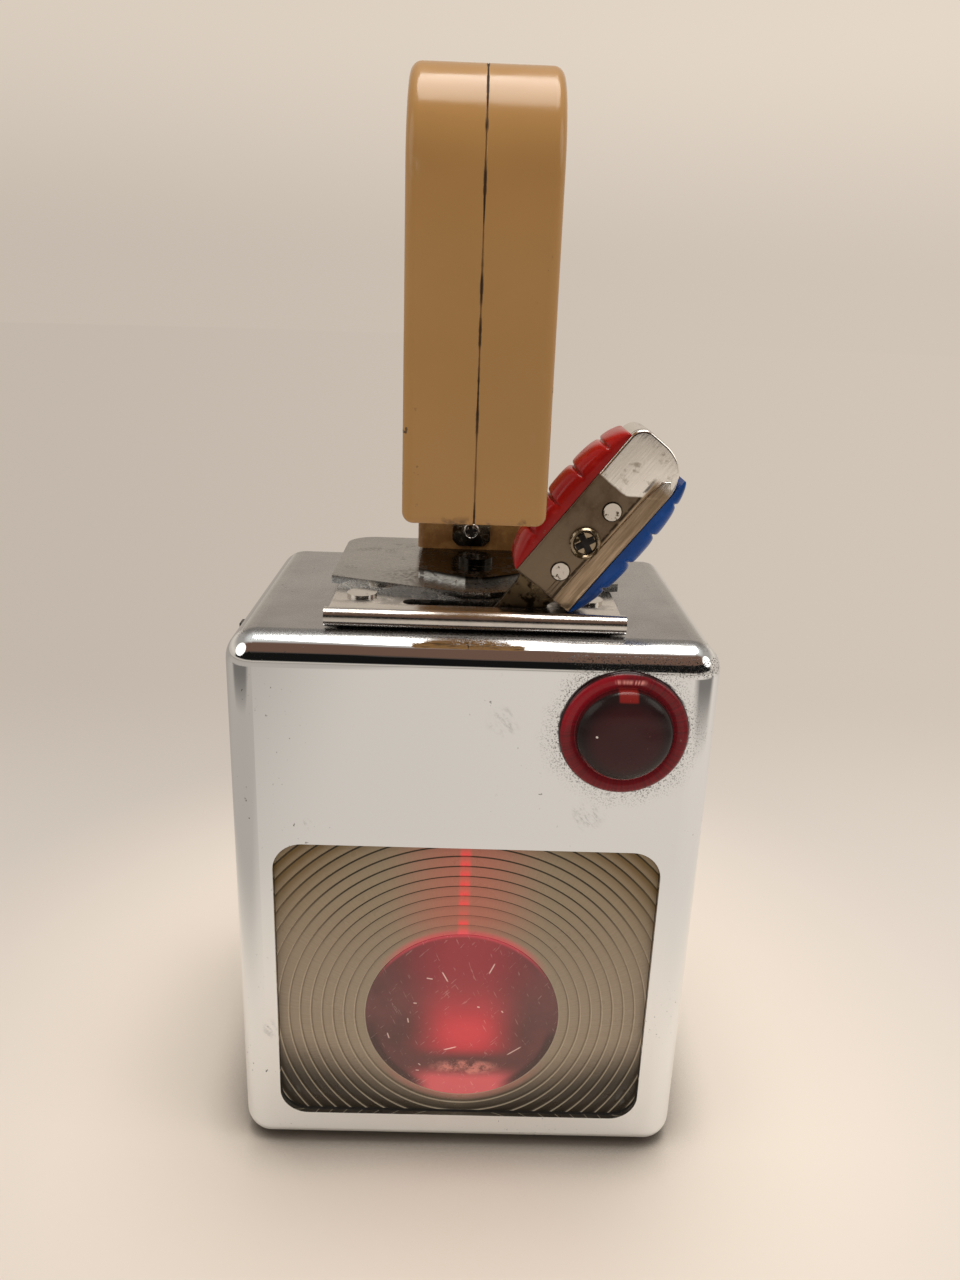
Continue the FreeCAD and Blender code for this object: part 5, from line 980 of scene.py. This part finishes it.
def grip(name, side, finish):
    shape = bmesh.new()
    bmesh.ops.create_grid(shape, x_segments=150, y_segments=26, size=1.0)
    for vert in shape.verts:
        share, angle = (vert.co.x + 1) / 2, vert.co.y * math.pi / 2
        height = GRIP_LOW + share * (GRIP_HIGH - GRIP_LOW)
        bulge = max(0.0, math.cos(angle)) ** 0.62
        notched = 1 - (1 - lump(height)) * min(1.0, 1.6 * bulge)
        thick = GRIP_THICK * bow(share) * notched * bulge
        aside = GRIP_HALF_DEPTH * math.copysign(abs(math.sin(angle)) ** 0.8, angle)
        vert.co = Vector((side * (HEAD_HALF + thick), GRIP_MIDDLE + aside, height)) * MM
    border = [edge for edge in shape.edges if edge.is_boundary]
    wall = bmesh.ops.extrude_edge_only(shape, edges=border)
    for item in wall["geom"]:
        if isinstance(item, bmesh.types.BMVert):
            item.co.x = side * HEAD_HALF * MM
    bmesh.ops.remove_doubles(shape, verts=shape.verts, dist=0.002 * MM)
    rim = [edge for edge in shape.edges if edge.is_boundary]
    bmesh.ops.triangle_fill(shape, use_beauty=True, edges=rim)
    bmesh.ops.transform(shape, matrix=LEAN, verts=shape.verts)
    return finish_piece(f"{name}_lumps", shape, "lever", [f"{name}_grip"], [finish])


# %% The plastics of the grips
def grip_plastic(name, hue, deep):
    plastic = Finish(name, Specular_IOR_Level=0.28, IOR=1.5)
    cloud = plastic.noise(70, 4).between(0.3, 0.7)
    worn = plastic.spots(260, 0.6, 0.7) * 0.2
    dust = plastic.spots(1300, 0.70, 0.74)
    shade = plastic.mix(cloud, hue, deep)
    shade = shade.towards(tuple((min(1.0, 1.4 * part + 0.03) for part in hue)), worn)
    plastic.set("Base_Color", shade.towards(colour(120, 104, 92), dust * 0.5))
    plastic.set("Roughness", plastic.noise(160, 4).between(0.3, 0.7, 0.16, 0.32))
    plastic.bump(plastic.noise(420, 3), 0.08, 0.0002)
    return plastic


red_plastic = grip_plastic("red_plastic", (0.40, 0.010, 0.008), (0.27, 0.006, 0.006))
blue_plastic = grip_plastic("blue_plastic", (0.002, 0.070, 0.34), (0.001, 0.040, 0.20))
grip("red", -1, red_plastic)
grip("blue", 1, blue_plastic)

# %% [markdown]
# ## The stage
# A wide pale floor carries the lamp's shadow and runs out to the tone of the wall, so that the
# lamp stands in the same soft light from all sides. Close to the lamp the floor is plain paper
# that takes shadows, and an occlusion term darkens it where the box nearly touches it. Further
# out, what the camera and the chrome see of it is painted as light, with the slow change of tone
# of a sheet of paper bent up into a wall. A dark figure, a dim room edge and a dim left side are
# there for mirror rays alone.

# %% The floor
FLOOR_TONE = colour(222, 210, 198)
BEND_TONE = colour(204, 192, 179)
WALL_TONE = colour(224, 211, 196)

ground = bmesh.new()
bmesh.ops.create_circle(ground, cap_ends=True, segments=96, radius=6.0)
floor_mesh = bpy.data.meshes.new("floor")
ground.to_mesh(floor_mesh)
ground.free()
floor = bpy.data.objects.new("floor", floor_mesh)
scene.collection.objects.link(floor)

paper = Finish("paper", Base_Color=colour(226, 215, 203), Roughness=0.9, Specular_IOR_Level=0.1)
away = paper.far_from((0, 0, 0), (1, 1, 0))
side, deep = paper.axis("X"), paper.axis("Y")
tone = paper.mix(deep.between(0.02, 0.3), FLOOR_TONE, BEND_TONE)
tone = tone.towards(BEND_TONE, away.between(0.6, 3.0))
lean = (side / (away + 0.25)).between(-0.5, 0.5, 0.9, 1.06)
mirrored = paper.node("LightPath", "Is Glossy Ray")
figure = (deep.between(0.05, -0.1) * away.between(0.3, 0.42) * away.between(0.75, 0.55) *
          abs(side).between(0.16, 0.26))
room_edge = deep.between(0.0, -0.3) * away.between(1.4, 2.2)
dim = highest(figure * 0.75, room_edge * 0.4) * mirrored
dim_left = side.between(-0.05, -0.15) * mirrored * 0.3
tone = tone.towards(colour(38, 35, 33), highest(dim, dim_left))
corner_shade = paper.node("AmbientOcclusion", 1, {"Distance": 0.024}, samples=8)
corner_shade = paper.blend(mirrored, corner_shade.between(0.3, 0.9, 0.1, 1.0), 1.0)
paper.set("Base_Color", paper.mix(corner_shade, colour(58, 50, 42), colour(230, 222, 213)))
glow = paper.node("Emission", 0, {"Color": tone, "Strength": lean * corner_shade})
on_paper = Value(paper, paper.shader.outputs[0])
blend = paper.node("MixShader", 0, {0: away.between(0.08, 0.21), 1: on_paper, 2: glow})
paper.feed(paper.output.inputs["Surface"], blend)
floor_mesh.materials.append(paper.material)

# %% [markdown]
# Chrome shows what surrounds it, so the room has to hold something to reflect: pale walls, and on
# the side of the photographer a dark figure low down, brown furniture above it and a bright
# ceiling. These draw the dark line and the brown band along the front edge of the box. What the
# camera sees directly, and what lights the lamp, stay plain.

# %% The room that the chrome mirrors
world = bpy.data.worlds.new("room")
scene.world = world
world.use_nodes = True
world.node_tree.nodes.clear()
room = Words(world.node_tree, "Generated")
up, ahead = room.axis("Z"), room.axis("Y")
ripple = room.node("TexNoise", 0, {"Vector": room.here, "Scale": 3.0, "Detail": 3.0})
height = up + ripple.between(0.3, 0.7, -0.06, 0.06)

backdrop = room.mix(up.between(0.02, 0.22), BEND_TONE, WALL_TONE)
wall = backdrop.towards(colour(168, 160, 152), up.between(0.22, 0.55))
wall = wall.towards(colour(232, 228, 222), up.between(0.75, 0.95))
behind = ahead.between(-0.10, -0.35)
brown = behind * (height.between(0.46, 0.58) * height.between(1.00, 0.90))
wall = wall.towards(colour(112, 84, 70), brown)
dark = behind * (up.between(0.02, 0.10) * height.between(0.60, 0.50))
wall = wall.towards(colour(22, 21, 20), dark)
by_camera, by_mirror, by_glass = [room.node("LightPath", f"Is {kind} Ray")
                                  for kind in ("Camera", "Glossy", "Transmission")]
lean = room.axis("X").between(-0.5, 0.5, 0.93, 1.05)
seen_light = room.node("Background", 0, {"Color": room.mix(by_camera, wall, backdrop),
                                         "Strength": lean})
soft_light = room.node("Background", 0, {"Color": colour(240, 228, 215),
                                         "Strength": up.between(-0.1, 0.9, 0.30, 0.62)})
seen = highest(by_camera, by_mirror, by_glass)
choice = room.node("MixShader", 0, {0: seen, 1: soft_light, 2: seen_light})
room.feed(room.tree.nodes.new("ShaderNodeOutputWorld").inputs["Surface"], choice)


# %% [markdown]
# ## The light
# The light in the photograph comes from above and a little behind: the top of the handle and the
# floor are bright, the front of the handle is not, and the shadow lies under the front of the box.
# One large softbox overhead, a little to the right, does most of it, and two weak ones at the
# sides in front soften it.

# %% The softboxes
def softbox(name, place, size, power, tone=(1.0, 0.95, 0.89)):
    lamp = bpy.data.lights.new(name, "AREA")
    lamp.shape = "DISK"
    lamp.size = size
    lamp.energy = power
    lamp.color = tone
    made = bpy.data.objects.new(name, lamp)
    scene.collection.objects.link(made)
    made.location = place
    made.rotation_euler = (Vector((0, 0, 0.1)) - Vector(place)).to_track_quat("-Z", "Y").to_euler()
    return made


softbox("overhead", (0.10, 0.05, 1.15), 0.75, 8.2)
softbox("left", (-0.95, -0.45, 0.70), 0.85, 2.4)
softbox("right", (1.00, -0.35, 0.75), 0.70, 2.0)
